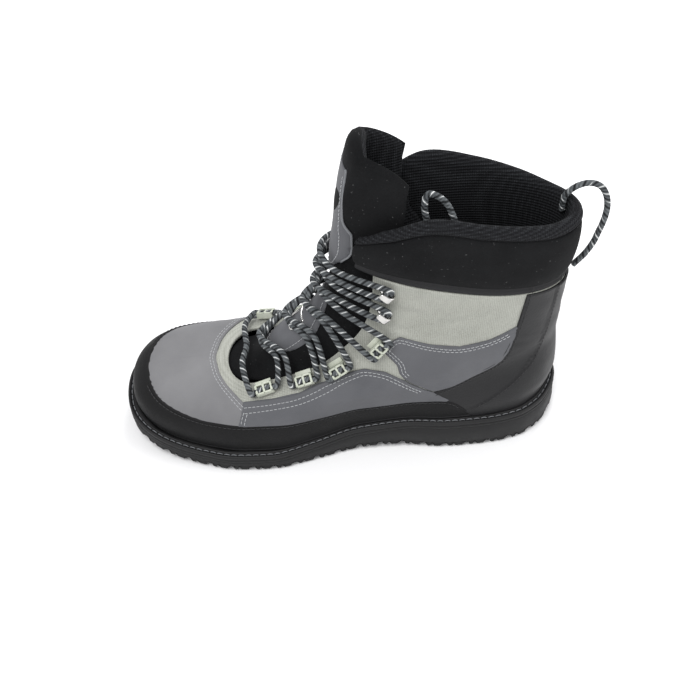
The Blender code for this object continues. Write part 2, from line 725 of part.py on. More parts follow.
def make_tongue(material):
    """Padded tongue: it tucks inside the wall at its sides and swells through the throat."""
    rings = []
    for k, level in enumerate(TONGUE_LEVELS):
        ends = {0: 0.45, 1: 0.8, len(TONGUE_LEVELS) - 1: 0.6}.get(k, 1.0)
        middle = (TONGUE_COLUMNS - 1) / 2
        spread = [(j - middle) / middle for j in range(TONGUE_COLUMNS)]
        fill = float(monotone([5.4, 8.0, 12.0, 14.7], [0.55, 0.8, 1.2, 1.5], level)) * TONGUE_THICK
        front = []
        back = []
        for a in spread:
            thick = fill * (1 - 0.4 * abs(a) ** 3) * ends
            slack = fill * (1 - 0.4 * abs(a) ** 3) * (1 - ends) / 2
            front.append(tongue_point(lowered(level, a), a, slack))
            back.append(tongue_point(lowered(level, a), a, slack + thick))
        rings.append(front + back[::-1])
    return loft("tongue", rings, material)


def front_outline(rows):
    """Closed outline seen from the front: heights over the ankle's base, half widths of the cover."""
    base = HEEL_THICK + WELT_THICK
    right = [(wide * COVER_WIDTH / 2, base + high * UPPER_HEIGHT) for high, wide in rows]
    return right + [(-y, z) for y, z in right[::-1]]


def tongue_overlay(name, material, rows):
    """A sheet on the tongue's front, cut from a shell of the tongue's own surface."""
    middle = (TONGUE_COLUMNS - 1) / 2
    verts = []
    for level in TONGUE_LEVELS:
        spread = [(j - middle) / middle for j in range(TONGUE_COLUMNS)]
        verts += [tongue_point(lowered(level, a), a) for a in spread]
    faces = []
    for k in range(len(TONGUE_LEVELS) - 1):
        for j in range(TONGUE_COLUMNS - 1):
            a = k * TONGUE_COLUMNS + j
            b = a + TONGUE_COLUMNS
            faces.append((a, a + 1, b + 1))
            faces.append((a, b + 1, b))
    overlay = mesh_object(name, verts, faces, material)
    mesh = overlay.data
    if sum(face.normal.x for face in mesh.polygons) > 0:
        mesh.flip_normals()
    lift = [vertex.co + vertex.normal * 3.5 * GAP for vertex in mesh.vertices]
    for vertex, place in zip(mesh.vertices, lift):
        vertex.co = place
    add_wall(overlay, PANEL, 1)
    flat = front_outline(rows)
    count = len(flat)
    corners = [(x, y, z) for x in (UPPER_HEEL - UPPER_LENGTH, 0.0) for y, z in flat]
    sides = [tuple(range(count)), tuple(range(count, 2 * count))]
    sides += [(j, (j + 1) % count, count + (j + 1) % count, count + j) for j in range(count)]
    outline = as_cutter(mesh_object(name + "_outline", corners, sides, None, CUTTERS))
    add_boolean(overlay, outline, "INTERSECT")
    return overlay


def fitting_frame(u, h, side, lift):
    """Matrix on the upper's surface: X along the throat's edge, Z outwards."""
    level, share = find_on_last(u, h, side)
    share = min(max(share, 0.01), 0.99)
    place = last_point(level, share, side)
    normal = last_normal(level, share, side)
    ahead = last_point(min(level + 0.25, COLLAR_TOP), share, side) - place
    ahead = (ahead - normal * ahead.dot(normal)).normalized()
    across = normal.cross(ahead)
    matrix = Matrix((ahead, across, normal)).transposed().to_4x4()
    matrix.translation = place + normal * lift
    return matrix


def make_keeper(name, u, h, side, material):
    """Plastic loop that guides the lace: a block with a tunnel and a window above it."""
    bpy.ops.mesh.primitive_cube_add(size=1.0)
    keeper = bpy.context.active_object
    keeper.name = name
    keeper.data.name = name
    keeper.data.transform(Matrix.Diagonal((KEEPER_LONG, KEEPER_WIDE, KEEPER_HIGH, 1.0)))
    for collection in list(keeper.users_collection):
        collection.objects.unlink(keeper)
    PARTS.objects.link(keeper)
    keeper.data.materials.append(material)
    keeper.matrix_world = fitting_frame(u, h, side, KEEPER_HIGH / 2 + PANEL + 2 * SEAT)
    aside = -KEEPER_WIDE * 0.06
    for word, middle, size in (
            ("tunnel", (0, aside, 0), (KEEPER_LONG * 1.4, KEEPER_WIDE * 0.62, KEEPER_HIGH * 0.52)),
            ("window", (0, aside, KEEPER_HIGH / 2), (KEEPER_LONG * 0.34, KEEPER_WIDE * 0.36, KEEPER_HIGH))):
        cutter = box_cluster(name + "_" + word, [(middle, size)])
        cutter.matrix_world = keeper.matrix_world
        add_boolean(keeper, cutter)
    return keeper


def make_hook(name, u, h, side, material):
    """Metal lace hook: riveted plate that turns over into an open hook."""
    thick = HOOK_PLATE
    reach = HOOK_REACH
    bend = 0.0031
    spine = [(reach * 0.75, thick / 2), (0.0, thick / 2)]
    for k in range(7):
        angle = -math.pi / 2 - math.pi * k / 6
        spine.append((bend * math.cos(angle) - reach * 0.05, bend + thick / 2 + bend * math.sin(angle)))
    spine.append((reach * 0.42, 2 * bend + thick * 0.35))
    spine.append((reach * 0.62, 2 * bend + thick * 0.95))
    path = [Vector((x, 0, z)) for x, z in spine]
    verts = []
    for k, point in enumerate(path):
        before = path[max(k - 1, 0)]
        after = path[min(k + 1, len(path) - 1)]
        along = (after - before).normalized()
        normal = Vector((-along.z, 0, along.x))
        for out in (-thick / 2, thick / 2):
            for y in (-HOOK_WIDE / 2, HOOK_WIDE / 2):
                verts.append(point + normal * out + Vector((0, y, 0)))
    faces = [(0, 1, 3, 2), tuple(len(verts) - 4 + i for i in (0, 1, 3, 2))]
    for k in range(len(path) - 1):
        a = 4 * k
        for i, j in ((0, 1), (1, 3), (3, 2), (2, 0)):
            faces.append((a + i, a + j, a + 4 + j, a + 4 + i))
    hook = mesh_object(name, verts, faces, material)
    hook.matrix_world = fitting_frame(u, h, side, SEAT) @ Matrix.Rotation(
        math.radians(-65 * side), 4, "Z")
    rivet = bmesh.new()
    bmesh.ops.create_cone(rivet, cap_ends=True, segments=12, radius1=HOOK_WIDE * 0.42,
                          radius2=HOOK_WIDE * 0.26, depth=thick * 2.4)
    mesh = bpy.data.meshes.new(name + "_rivet")
    rivet.to_mesh(mesh)
    rivet.free()
    head = bpy.data.objects.new(name + "_rivet", mesh)
    CUTTERS.objects.link(as_cutter(head))
    head.matrix_world = hook.matrix_world @ Matrix.Translation((reach * 0.45, 0, thick * 1.35))
    add_boolean(hook, head, "UNION")
    return hook


def smooth_route(points, spacing):
    """Even points along one smooth curve through a route."""
    ctrl = [Vector(p) for p in points]
    ctrl = [ctrl[0] * 2 - ctrl[1]] + ctrl + [ctrl[-1] * 2 - ctrl[-2]]
    dense = []
    for k in range(1, len(ctrl) - 2):
        a, b, c, d = ctrl[k - 1:k + 3]
        for step in range(16):
            u = step / 16
            dense.append(0.5 * (2 * b + (c - a) * u + (2 * a - 5 * b + 4 * c - d) * u ** 2
                                + (3 * b - a - 3 * c + d) * u ** 3))
    dense.append(ctrl[-2])
    lengths = [0.0]
    for before, after in zip(dense, dense[1:]):
        lengths.append(lengths[-1] + (after - before).length)
    count = max(int(round(lengths[-1] / spacing)), 3)
    route = []
    for k in range(count + 1):
        at = lengths[-1] * k / count
        i = min(int(np.searchsorted(lengths, at)), len(dense) - 1)
        i = max(i, 1)
        part = (at - lengths[i - 1]) / max(lengths[i] - lengths[i - 1], 1e-9)
        route.append(dense[i - 1].lerp(dense[i], part))
    return route


def make_tube(name, points, diameter, material, collection=None):
    """Round cord along a route, as a curve with filled caps."""
    curve = bpy.data.curves.new(name, "CURVE")
    curve.dimensions = "3D"
    curve.bevel_depth = diameter / 2
    curve.bevel_resolution = 2
    curve.use_fill_caps = True
    spline = curve.splines.new("POLY")
    route = points[:1] + smooth_route(points[1:-1], diameter * 1.8) + points[-1:]
    spline.points.add(len(route) - 1)
    for point, place in zip(spline.points, route):
        point.co = (*place, 1)
    obj = bpy.data.objects.new(name, curve)
    (collection or PARTS).objects.link(obj)
    curve.materials.append(material)
    return obj


def tube_mesh(name, points, diameter, material, collection=None):
    """A tube turned into a closed mesh, so that it can be joined."""
    tube = make_tube(name + "_curve", points, diameter, material, collection)
    bpy.context.view_layer.update()
    mesh = bpy.data.meshes.new_from_object(tube.evaluated_get(bpy.context.evaluated_depsgraph_get()))
    mesh.name = name
    weld = bmesh.new()
    weld.from_mesh(mesh)
    bmesh.ops.remove_doubles(weld, verts=weld.verts, dist=0.00001)
    weld.to_mesh(mesh)
    weld.free()
    obj = bpy.data.objects.new(name, mesh)
    (collection or PARTS).objects.link(obj)
    obj.matrix_world = tube.matrix_world.copy()
    bpy.data.objects.remove(tube, do_unlink=True)
    return obj


def lace_end(u, h, side, forward):
    """Where a lace leaves a keeper or a hook, and a point a little further along it."""
    frame = fitting_frame(u, h, side, KEEPER_HIGH / 2 + PANEL + 2 * SEAT)
    reach = KEEPER_LONG / 2 if (u, h) in KEEPERS else HOOK_REACH * 0.56
    start = forward * (reach + 1.3 * GAP)
    lead = forward * (reach + LACE_WIDE)
    rise = LACE_WIDE * 0.2
    return frame @ Vector((start, 0, rise)), frame @ Vector((lead, 0, rise))


def over_tongue(level, across=0.0, rise=1.0):
    """A place on top of the tongue for a lace to pass."""
    return tongue_point(level, across, -(LACE_WIDE / 2 + PANEL + 3 * SEAT) * rise)


def make_lace_row(name, low, high, level, material):
    """Two strands that cross on the tongue, from one row of keepers to the next."""
    strands = []
    for side in (-1, 1):
        crossing = over_tongue(level + 0.015 * side, 0.02, 1.6 + 0.15 * side)
        start, lead = lace_end(*low, side, 1)
        far_start, far_lead = lace_end(*high, -side, -1)
        near = over_tongue(level - 0.12, 0.62 * side, 2.4)
        far = over_tongue(level + 0.12, -0.62 * side, 2.4)
        strands.append([start, lead, near, crossing, far, far_lead, far_start])
    first = tube_mesh(name, strands[0], LACE_WIDE, material)
    second = tube_mesh(name + "_second", strands[1], LACE_WIDE, material, CUTTERS)
    as_cutter(second)
    add_boolean(first, second, "UNION")
    return first


def make_lace_bar(name, fitting, level, edge_level, forward, material):
    """One strand straight across the tongue between a pair of fittings."""
    route = []
    for side in (-1, 1):
        start, lead = lace_end(*fitting, side, forward)
        near = over_tongue(edge_level, 0.62 * side, 2.2)
        half = [start, lead, near]
        route += half if side < 0 else [over_tongue(level, 0.0, 1.4)] + half[::-1]
    return make_tube(name, route, LACE_WIDE, material)


MATERIALS = {
    "rubber": new_material("rubber", (0.030, 0.030, 0.032), 0.75),
    "welt": new_material("welt", (0.015, 0.015, 0.016), 0.5),
    "insole": new_material("insole", (0.05, 0.05, 0.055), 0.9),
    "canvas": new_material("canvas", (0.42, 0.43, 0.39), 0.9),
    "nubuck": new_material("nubuck", (0.17, 0.175, 0.185), 0.8),
    "rand": new_material("rand", (0.018, 0.018, 0.020), 0.7),
    "leather": new_material("leather", (0.020, 0.020, 0.022), 0.45),
    "cuff": new_material("cuff", (0.012, 0.012, 0.013), 0.95),
    "tongue": new_material("tongue", (0.012, 0.012, 0.013), 0.95),
    "keeper": new_material("keeper", (0.52, 0.54, 0.46), 0.4),
    "metal": new_material("metal", (0.75, 0.74, 0.72), 0.2, 1.0),
    "lace": new_material("lace", (0.12, 0.13, 0.14), 0.85),
}

make_outsole(MATERIALS["rubber"])
make_welt(MATERIALS["welt"])
make_insole(MATERIALS["insole"])
THROAT = throat_cutters()
make_upper(MATERIALS["canvas"], THROAT)
make_overlays(MATERIALS)
make_cuff(MATERIALS["cuff"])
make_tongue(MATERIALS["tongue"])
tongue_overlay("tongue_cover", MATERIALS["nubuck"], COVER_ROWS)
tongue_overlay("tongue_patch", MATERIALS["nubuck"], PATCH_ROWS)

for number, (u, h) in enumerate(KEEPERS, 1):
    for side, word in ((-1, "lateral"), (1, "medial")):
        make_keeper(f"keeper_{word}_{number}", u, h, side, MATERIALS["keeper"])
for number, (u, h) in enumerate(HOOKS, 1):
    for side, word in ((-1, "lateral"), (1, "medial")):
        make_hook(f"hook_{word}_{number}", u, h, side, MATERIALS["metal"])

ROWS = list(zip(KEEPERS + HOOKS, (KEEPERS + HOOKS)[1:], CROSSING_LEVELS))
for number, (low, high, level) in enumerate(ROWS, 1):
    make_lace_row(f"lace_cross_{number}", low, high, level, MATERIALS["lace"])
make_lace_bar("lace_bar", KEEPERS[0], 6.25, 5.75, -1, MATERIALS["lace"])
make_lace_bar("lace_tie", HOOKS[1], 10.78, 10.78, 1, MATERIALS["lace"])
make_tube("lace_loop", LACE_LOOP, LACE_WIDE, MATERIALS["lace"])
make_tube("pull_loop", PULL_LOOP, LOOP_CORD, MATERIALS["lace"])
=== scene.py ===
"""Looks of the left wading boot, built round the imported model.

Metres, +Z up, toe to -X, outer side to -Y, origin at the middle of the heel's tread. The upper's
function is the same as in the part, at a finer step: it carries the panels, seams, cuff and tongue.
"""
import math

import bmesh
import bpy
import numpy as np
from mathutils import Matrix, Vector


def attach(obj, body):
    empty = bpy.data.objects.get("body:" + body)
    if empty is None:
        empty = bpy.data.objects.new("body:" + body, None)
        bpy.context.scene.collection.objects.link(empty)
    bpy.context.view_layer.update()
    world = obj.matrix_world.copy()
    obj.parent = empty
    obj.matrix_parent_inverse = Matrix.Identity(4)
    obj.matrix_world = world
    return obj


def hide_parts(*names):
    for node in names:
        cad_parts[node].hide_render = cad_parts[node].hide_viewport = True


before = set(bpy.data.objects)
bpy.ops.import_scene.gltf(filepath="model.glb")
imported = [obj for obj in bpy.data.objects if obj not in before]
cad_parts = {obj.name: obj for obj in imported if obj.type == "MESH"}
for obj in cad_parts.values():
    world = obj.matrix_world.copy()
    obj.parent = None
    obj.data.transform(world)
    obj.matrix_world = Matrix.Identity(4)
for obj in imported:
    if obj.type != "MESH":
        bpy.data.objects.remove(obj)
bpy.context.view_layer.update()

# Camera: place, axes and lens
CAMERA_PLACE = (-0.092067, -0.565391, 0.696608)
CAMERA_RIGHT = (0.99841068, -0.03167546, -0.04661298)
CAMERA_UP = (0.05461593, 0.74781796, 0.66165353)
CAMERA_FORWARD = (-0.01389985, 0.66314777, -0.74835943)
CAMERA_LENS = 61.16

# Sizes, as in the part
SOLE_LENGTH = 0.315
BALL_WIDTH = 0.118
HEEL_TREAD = 0.0894
TOE_SWING = 0.0075
TOE_SPRING = 0.0096
HEEL_THICK = 0.0239
BALL_THICK = 0.0115
ARCH_RELIEF = 0.0025
LUG_DEPTH = 0.0035
LUG_PITCH = 0.0155
WELT_THICK = 0.0047
WELT_EDGE = 0.0051
ANKLE_WIDTH = 0.076
UPPER_HEIGHT = 0.152
COLLAR_RISE = 0.026
WALL = 0.0022
PANEL = 0.0012
CUFF_PAD = 0.0095
CUFF_START = 0.0210
CUFF_AHEAD = 0.0060
THROAT_WIDTH = 0.052
TONGUE_THICK = 0.0075
TONGUE_BULGE = 0.0115
COVER_WIDTH = 0.037
LACE_WIDE = 0.0046
KEEPER_LONG = 0.0125
KEEPER_WIDE = 0.0080
KEEPER_HIGH = 0.0050
HOOK_WIDE = 0.0065
HOOK_REACH = 0.0085
HOOK_PLATE = 0.0012
HOOK_LIFT = 0.0003
HOOK_TURN = -65
SEAT = 0.0006
HEEL_X = HEEL_TREAD / 2
UPPER_HEEL = HEEL_X - WELT_EDGE
UPPER_LENGTH = SOLE_LENGTH - 2 * WELT_EDGE
UPPER_SEAT = HEEL_THICK + WELT_THICK
PATCH_SPAN = (5.8, 9.6)
COVER_SPAN = (9.6, 14.3)
COLLAR_BASE = 11.0
COLLAR_TOP = 13.0

# share of the length from the heel, lateral and medial half widths as shares of BALL_WIDTH
OUTLINE = np.array([
    (0.000, 0.000, 0.000), (0.012, 0.124, 0.138), (0.050, 0.270, 0.259), (0.100, 0.353, 0.319),
    (0.170, 0.392, 0.353), (0.260, 0.403, 0.349), (0.360, 0.381, 0.310), (0.460, 0.386, 0.310),
    (0.560, 0.448, 0.353), (0.660, 0.514, 0.414), (0.740, 0.523, 0.447), (0.820, 0.490, 0.455),
    (0.900, 0.424, 0.414), (0.955, 0.329, 0.323), (0.988, 0.198, 0.181), (1.000, 0.000, 0.000)])

# front, high, back, high, lateral, medial, middle, front power, back power, round, rise
RINGS = np.array([
    (0.986, 0.000, 0.007, 0.000, 1.002, 0.928, 0.45, 2.2, 2.4, 0.00, 0.00),
    (0.993, 0.053, -0.005, 0.088, 1.030, 0.937, 0.45, 2.2, 2.4, 0.00, 0.00),
    (0.986, 0.109, -0.006, 0.147, 1.042, 0.937, 0.45, 2.2, 2.4, 0.10, 0.00),
    (0.957, 0.165, -0.005, 0.207, 1.065, 0.962, 0.45, 2.2, 2.4, 0.35, 0.00),
    (0.901, 0.214, -0.003, 0.259, 1.090, 1.010, 0.48, 2.0, 2.4, 0.65, 0.00),
    (0.822, 0.253, -0.001, 0.312, 1.111, 1.061, 0.50, 1.8, 2.4, 0.90, 0.00),
    (0.730, 0.288, -0.001, 0.358, 1.105, 1.066, 0.52, 1.7, 2.4, 1.00, 0.00),
    (0.642, 0.350, -0.003, 0.404, 1.066, 1.039, 0.52, 1.7, 2.4, 1.00, 0.00),
    (0.566, 0.453, -0.005, 0.457, 1.026, 1.026, 0.52, 1.9, 2.4, 1.00, 0.00),
    (0.507, 0.574, -0.006, 0.516, 1.000, 1.000, 0.52, 2.2, 2.3, 1.00, 0.00),
    (0.478, 0.729, -0.010, 0.588, 0.974, 0.974, 0.52, 2.5, 2.2, 1.00, 0.00),
    (0.468, 0.910, -0.014, 0.674, 0.961, 0.961, 0.52, 2.7, 2.1, 1.00, 0.03),
    (0.463, 0.968, -0.028, 0.845, 0.974, 0.974, 0.50, 2.8, 2.0, 1.00, 0.50),
    (0.458, 1.026, -0.037, 1.029, 1.000, 1.000, 0.48, 2.8, 1.9, 1.00, 1.00),
    (0.440, 1.270, -0.040, 1.200, 1.000, 1.000, 0.48, 2.8, 1.9, 1.00, 0.80),
    (0.405, 1.540, -0.040, 1.400, 0.974, 0.974, 0.48, 2.8, 1.9, 1.00, 0.50)])
LIFT = np.array([(0.0, 0.0), (0.05, 0.14), (0.15, 0.54), (0.35, 1.0), (0.57, 0.68), (0.75, 0.35),
                 (0.90, 0.08), (1.0, 0.0)])

# Panel edges seen from the side: share of UPPER_LENGTH from the heel, share of UPPER_HEIGHT
RAND_TOP = [(1.03, 0.174), (0.948, 0.174), (0.904, 0.167), (0.820, 0.164), (0.735, 0.169),
            (0.678, 0.176), (0.572, 0.166), (0.479, 0.146), (0.400, 0.133), (0.357, 0.134),
            (0.304, 0.137), (0.270, 0.140), (0.242, 0.127), (0.218, 0.088), (0.190, 0.010)]
QUARTER_TOP = [(0.721, 0.244), (0.646, 0.266), (0.588, 0.280), (0.518, 0.308), (0.471, 0.337),
               (0.438, 0.353), (0.393, 0.335), (0.350, 0.288), (0.304, 0.208)]
COUNTER_FRONT = [(0.080, 0.760), (0.105, 0.504), (0.135, 0.337), (0.203, 0.265), (0.293, 0.180),
                 (0.345, 0.136)]
COUNTER_SEAM = [(0.015, 0.760), (0.020, 0.640), (0.051, 0.303), (0.090, 0.215), (0.132, 0.158),
                (0.190, 0.082), (0.230, 0.040)]
ANKLE_TOP = [(0.395, 0.448), (0.386, 0.490), (0.357, 0.528), (0.292, 0.487), (0.227, 0.467),
             (0.161, 0.489), (0.110, 0.530)]
ANKLE_FRONT = [(0.286, 0.196), (0.303, 0.214), (0.350, 0.294), (0.361, 0.325), (0.366, 0.371),
               (0.391, 0.435)]
VAMP_SEAM = 0.7370
VAMP_ARC = [(0.788, 0.00), (0.784, 0.09), (0.776, 0.21), (0.762, 0.32), (0.744, 0.42),
            (0.722, 0.52), (0.700, 0.60)]
THROAT_SIDE = [(0.694, 0.08), (0.694, 0.65), (0.560, 1.75), (0.330, 1.75), (0.345, 1.10),
               (0.375, 0.62), (0.430, 0.36), (0.540, 0.14)]
THROAT_END = 0.759
THROAT_ROUND = 0.694
COVER_ROWS = [(0.800, 0.00), (0.803, 0.18), (0.812, 0.34), (0.830, 0.55), (0.870, 0.74),
              (0.930, 0.82), (1.080, 0.80), (1.200, 0.72), (1.320, 0.62), (1.352, 0.54), (1.354, 0.0)]
PATCH_ROWS = [(0.285, 0.30), (0.300, 0.60), (0.330, 0.78), (0.420, 0.78), (0.520, 0.62),
              (0.600, 0.50)]
KEEPERS = [(0.667, 0.276), (0.573, 0.303), (0.492, 0.352), (0.399, 0.478)]
HOOKS = [(0.384, 0.665), (0.376, 0.790)]

# Routes of the two cords, in metres
LACE_LOOP = [(-0.043, -0.0245, 0.176), (-0.0480, -0.0235, 0.190), (-0.0515, -0.019, 0.203),
             (-0.0515, -0.017, 0.2110), (-0.0500, -0.0155, 0.2140), (-0.0475, -0.0145, 0.2142),
             (-0.0415, -0.0150, 0.2108), (-0.0367, -0.017, 0.205), (-0.0330, -0.0215, 0.196),
             (-0.0300, -0.0245, 0.184)]
PULL_LOOP = [(0.0379, 0.004, 0.178), (0.0388, 0.004, 0.190), (0.0447, 0.004, 0.197),
             (0.052, 0.004, 0.1998), (0.0581, 0.003, 0.1994), (0.0625, 0.002, 0.1958),
             (0.0653, 0.001, 0.189), (0.066, 0.000, 0.1805), (0.0646, -0.001, 0.1713),
             (0.062, -0.002, 0.1628), (0.0595, -0.003, 0.1552), (0.0545, -0.004, 0.146),
             (0.0474, -0.005, 0.1375)]


# The upper's surface


def smooth(a):
    a = np.clip(a, 0, 1)
    return a * a * (3 - 2 * a)


def monotone(xs, ys, at):
    """Smooth curve through a table that never overshoots it."""
    xs, ys, at = (np.asarray(v, float) for v in (xs, ys, at))
    step = np.diff(xs)
    slope = np.diff(ys) / step
    tangent = np.zeros_like(ys)
    near = 2 * step[1:] + step[:-1]
    far = step[1:] + 2 * step[:-1]
    steady = slope[:-1] * slope[1:] > 0
    before = np.where(slope[:-1] == 0, 1, slope[:-1])
    after = np.where(slope[1:] == 0, 1, slope[1:])
    tangent[1:-1] = np.where(steady, (near + far) / (near / before + far / after), 0)
    tangent[0], tangent[-1] = slope[0], slope[-1]
    i = np.clip(np.searchsorted(xs, at, side="right") - 1, 0, len(xs) - 2)
    u = (at - xs[i]) / step[i]
    return (ys[i] * (1 + 2 * u) * (1 - u) ** 2 + tangent[i] * step[i] * u * (1 - u) ** 2
            + ys[i + 1] * u * u * (3 - 2 * u) + tangent[i + 1] * step[i] * u * u * (u - 1))


def sole_share(x):
    return (HEEL_X - np.asarray(x, float)) / SOLE_LENGTH


def half_width(t, side):
    """Half width of the sole; side is an array of -1 and 1."""
    angles = np.arccos(1 - 2 * OUTLINE[:, 0])
    at = np.arccos(1 - 2 * np.clip(t, 0, 1))
    lateral = monotone(angles, OUTLINE[:, 1], at)
    medial = monotone(angles, OUTLINE[:, 2], at)
    return BALL_WIDTH * np.maximum(np.where(np.asarray(side) < 0, lateral, medial), 0)


def centre(x):
    return TOE_SWING * smooth((sole_share(x) - 0.55) / 0.45)


def tread(x):
    t = sole_share(x)
    spring = np.clip((t - 0.764) / 0.229, 0, None)
    arch = np.clip(1 - ((t - 0.40) / 0.09) ** 2, 0, None)
    return TOE_SPRING * spring ** 2 + ARCH_RELIEF * arch


def sole_top(x):
    t = sole_share(x)
    spring = np.clip((t - 0.764) / 0.229, 0, None)
    return TOE_SPRING * spring ** 2 + BALL_THICK + (HEEL_THICK - BALL_THICK) * smooth((0.685 - t) / 0.381)


def feather(x):
    return sole_top(x) + WELT_THICK


def spline(a, b, c, d, u):
    """Smooth step from b to c at u, with its neighbours a and d."""
    return 0.5 * (2 * b + (c - a) * u + (2 * a - 5 * b + 4 * c - d) * u * u
                  + (3 * b - a - 3 * c + d) * u ** 3)


def ring_value(column, level):
    table = RINGS[:, column]
    last = len(table) - 1
    level = np.clip(np.asarray(level, float), 0, last - 1e-9)
    i = np.floor(level).astype(int)
    u = level - i

    def row(k):
        inside = table[np.clip(k, 0, last)]
        below = np.where(k < 0, 2 * table[0] - table[1], inside)
        return np.where(k > last, 2 * table[-1] - table[-2], below)

    return spline(row(i - 1), row(i), row(i + 1), row(i + 2), u)


def last_points(level, share, side):
    """Points of the upper's outer surface, for arrays of level, share and side."""
    level, share, side = np.broadcast_arrays(np.asarray(level, float), share, side)
    front, high_f, back, high_b, lateral, medial, middle, power_f, power_b, oval, rise = [
        ring_value(k, level) for k in range(11)]
    oval = np.clip(oval, 0, 1)
    front_x = UPPER_HEEL - front * UPPER_LENGTH
    back_x = UPPER_HEEL - back * UPPER_LENGTH
    x = front_x + (back_x - front_x) * share
    widest = BALL_WIDTH * np.where(side < 0, OUTLINE[:, 1].max(), OUTLINE[:, 2].max())
    sole_like = half_width(1 - share, side) / widest
    ahead = share < middle
    along = np.where(ahead, (middle - share) / middle, (share - middle) / (1 - middle))
    power = np.where(ahead, power_f, power_b)
    round_like = np.sqrt(np.clip(1 - np.clip(along, 0, 1) ** power, 0, None))
    reach = (BALL_WIDTH / 2 - WELT_EDGE) * (1 - oval) + ANKLE_WIDTH / 2 * oval
    width = reach * np.where(side < 0, lateral, medial) * (sole_like * (1 - oval) + round_like * oval)
    front_z = feather(front_x) + high_f * UPPER_HEIGHT
    back_z = feather(back_x) + high_b * UPPER_HEIGHT
    straight = feather(front_x) + (feather(back_x) - feather(front_x)) * share
    fade = np.clip(1 - level / 6, 0, 1)
    lift = monotone(LIFT[:, 0], LIFT[:, 1], share)
    z = front_z + (back_z - front_z) * share + (feather(x) - straight) * fade
    z = z + COLLAR_RISE * np.clip(rise, 0, 1) * lift
    return np.stack([x, centre(x) + side * width, z], axis=-1)


def unit(v):
    return v / np.maximum(np.linalg.norm(v, axis=-1, keepdims=True), 1e-12)


def last_normals(level, share, side):
    """Outward directions of the upper's surface."""
    level, share, side = np.broadcast_arrays(np.asarray(level, float), share, side)
    low = np.maximum(share - 0.004, 0.0005)
    high = np.minimum(share + 0.004, 0.9995)
    along = last_points(level, high, side) - last_points(level, low, side)
    up = last_points(level + 0.03, share, side) - last_points(np.maximum(level - 0.03, 0), share, side)
    return unit(np.cross(along, up)) * -side[..., None]


def side_place(u, h):
    x = UPPER_HEEL - np.asarray(u, float) * UPPER_LENGTH
    return x, feather(x) + np.asarray(h, float) * UPPER_HEIGHT


def find_on_last(u, h, side):
    """Level and share of the surface points seen from the side at places in shares."""
    x, z = side_place(u, h)
    x, z, side = np.broadcast_arrays(x, z, side)
    low, high = np.full(x.shape, 0.3), np.full(x.shape, COLLAR_TOP)
    for _ in range(36):
        level = (low + high) / 2
        front_x = UPPER_HEEL - ring_value(0, level) * UPPER_LENGTH
        back_x = UPPER_HEEL - ring_value(2, level) * UPPER_LENGTH
        share = np.clip((x - front_x) / (back_x - front_x), 0, 1)
        under = last_points(level, share, side)[..., 2] < z
        low, high = np.where(under, level, low), np.where(under, high, level)
    return level, share


def share_at_width(level, offset, side):
    level, offset, side = np.broadcast_arrays(np.asarray(level, float), offset, side)
    low, high = np.zeros(level.shape), np.full(level.shape, 0.5)
    for _ in range(28):
        share = (low + high) / 2
        point = last_points(level, share, side)
        under = np.abs(point[..., 1] - centre(point[..., 0])) < offset
        low, high = np.where(under, share, low), np.where(under, high, share)
    return share


# Meshes


def new_mesh(name, verts, faces, material, smooth_shade=True):
    mesh = bpy.data.meshes.new(name)
    verts = np.asarray(verts, np.float32)
    faces = np.asarray(faces, np.int32)
    width = faces.shape[1]
    mesh.vertices.add(len(verts))
    mesh.vertices.foreach_set("co", verts.ravel())
    mesh.loops.add(faces.size)
    mesh.loops.foreach_set("vertex_index", faces.ravel())
    mesh.polygons.add(len(faces))
    mesh.polygons.foreach_set("loop_start", np.arange(0, faces.size, width, dtype=np.int32))
    mesh.polygons.foreach_set("use_smooth", np.full(len(faces), smooth_shade))
    mesh.update(calc_edges=True)
    mesh.validate()
    mesh.materials.append(material)
    obj = bpy.data.objects.new(name, mesh)
    bpy.context.scene.collection.objects.link(obj)
    return obj


def place(obj, nodes=()):
    """The piece rides on the boot and stands for its nodes."""
    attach(obj, "root")
    if nodes:
        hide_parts(*nodes)
    return obj


def grid_faces(rows, columns, closed=False):
    """Quads of a grid of rows by columns; closed joins the last column to the first."""
    r = np.arange(rows - 1)[:, None] * columns
    c = np.arange(columns if closed else columns - 1)[None, :]
    n = (c + 1) % columns
    return np.stack([r + c, r + n, r + n + columns, r + c + columns], -1).reshape(-1, 4)


def clip(verts, values, faces, extra):
    """Triangles kept where values are above 0, cut cleanly along 0. extra rows follow verts."""
    inside = values > 0
    kept = faces[inside[faces].all(axis=1)]
    edge = faces[inside[faces].any(axis=1) & ~inside[faces].all(axis=1)]
    data = np.concatenate([verts, extra], axis=1)
    count = len(verts)
    made, pairs, new_faces = [], {}, []

    def cut(i, j):
        key = (i, j) if i < j else (j, i)
        if key not in pairs:
            a, b = key
            t = values[a] / (values[a] - values[b])
            t = min(max(t, 0.002), 0.998)
            pairs[key] = count + len(made)
            made.append(data[a] * (1 - t) + data[b] * t)
        return pairs[key]

    for tri in edge.tolist():
        loop = []
        for k in range(3):
            i, j = tri[k], tri[(k + 1) % 3]
            if inside[i]:
                loop.append(i)
            if inside[i] != inside[j]:
                loop.append(cut(i, j))
        new_faces.append(loop[:3])
        if len(loop) == 4:
            new_faces.append([loop[0], loop[2], loop[3]])
    if made:
        data = np.concatenate([data, np.array(made)])
        kept = np.concatenate([kept, np.array(new_faces, int)])
    used = np.unique(kept)
    index = np.full(len(data), -1)
    index[used] = np.arange(len(used))
    data = data[used]
    return data[:, :3], index[kept], data[:, 3:]


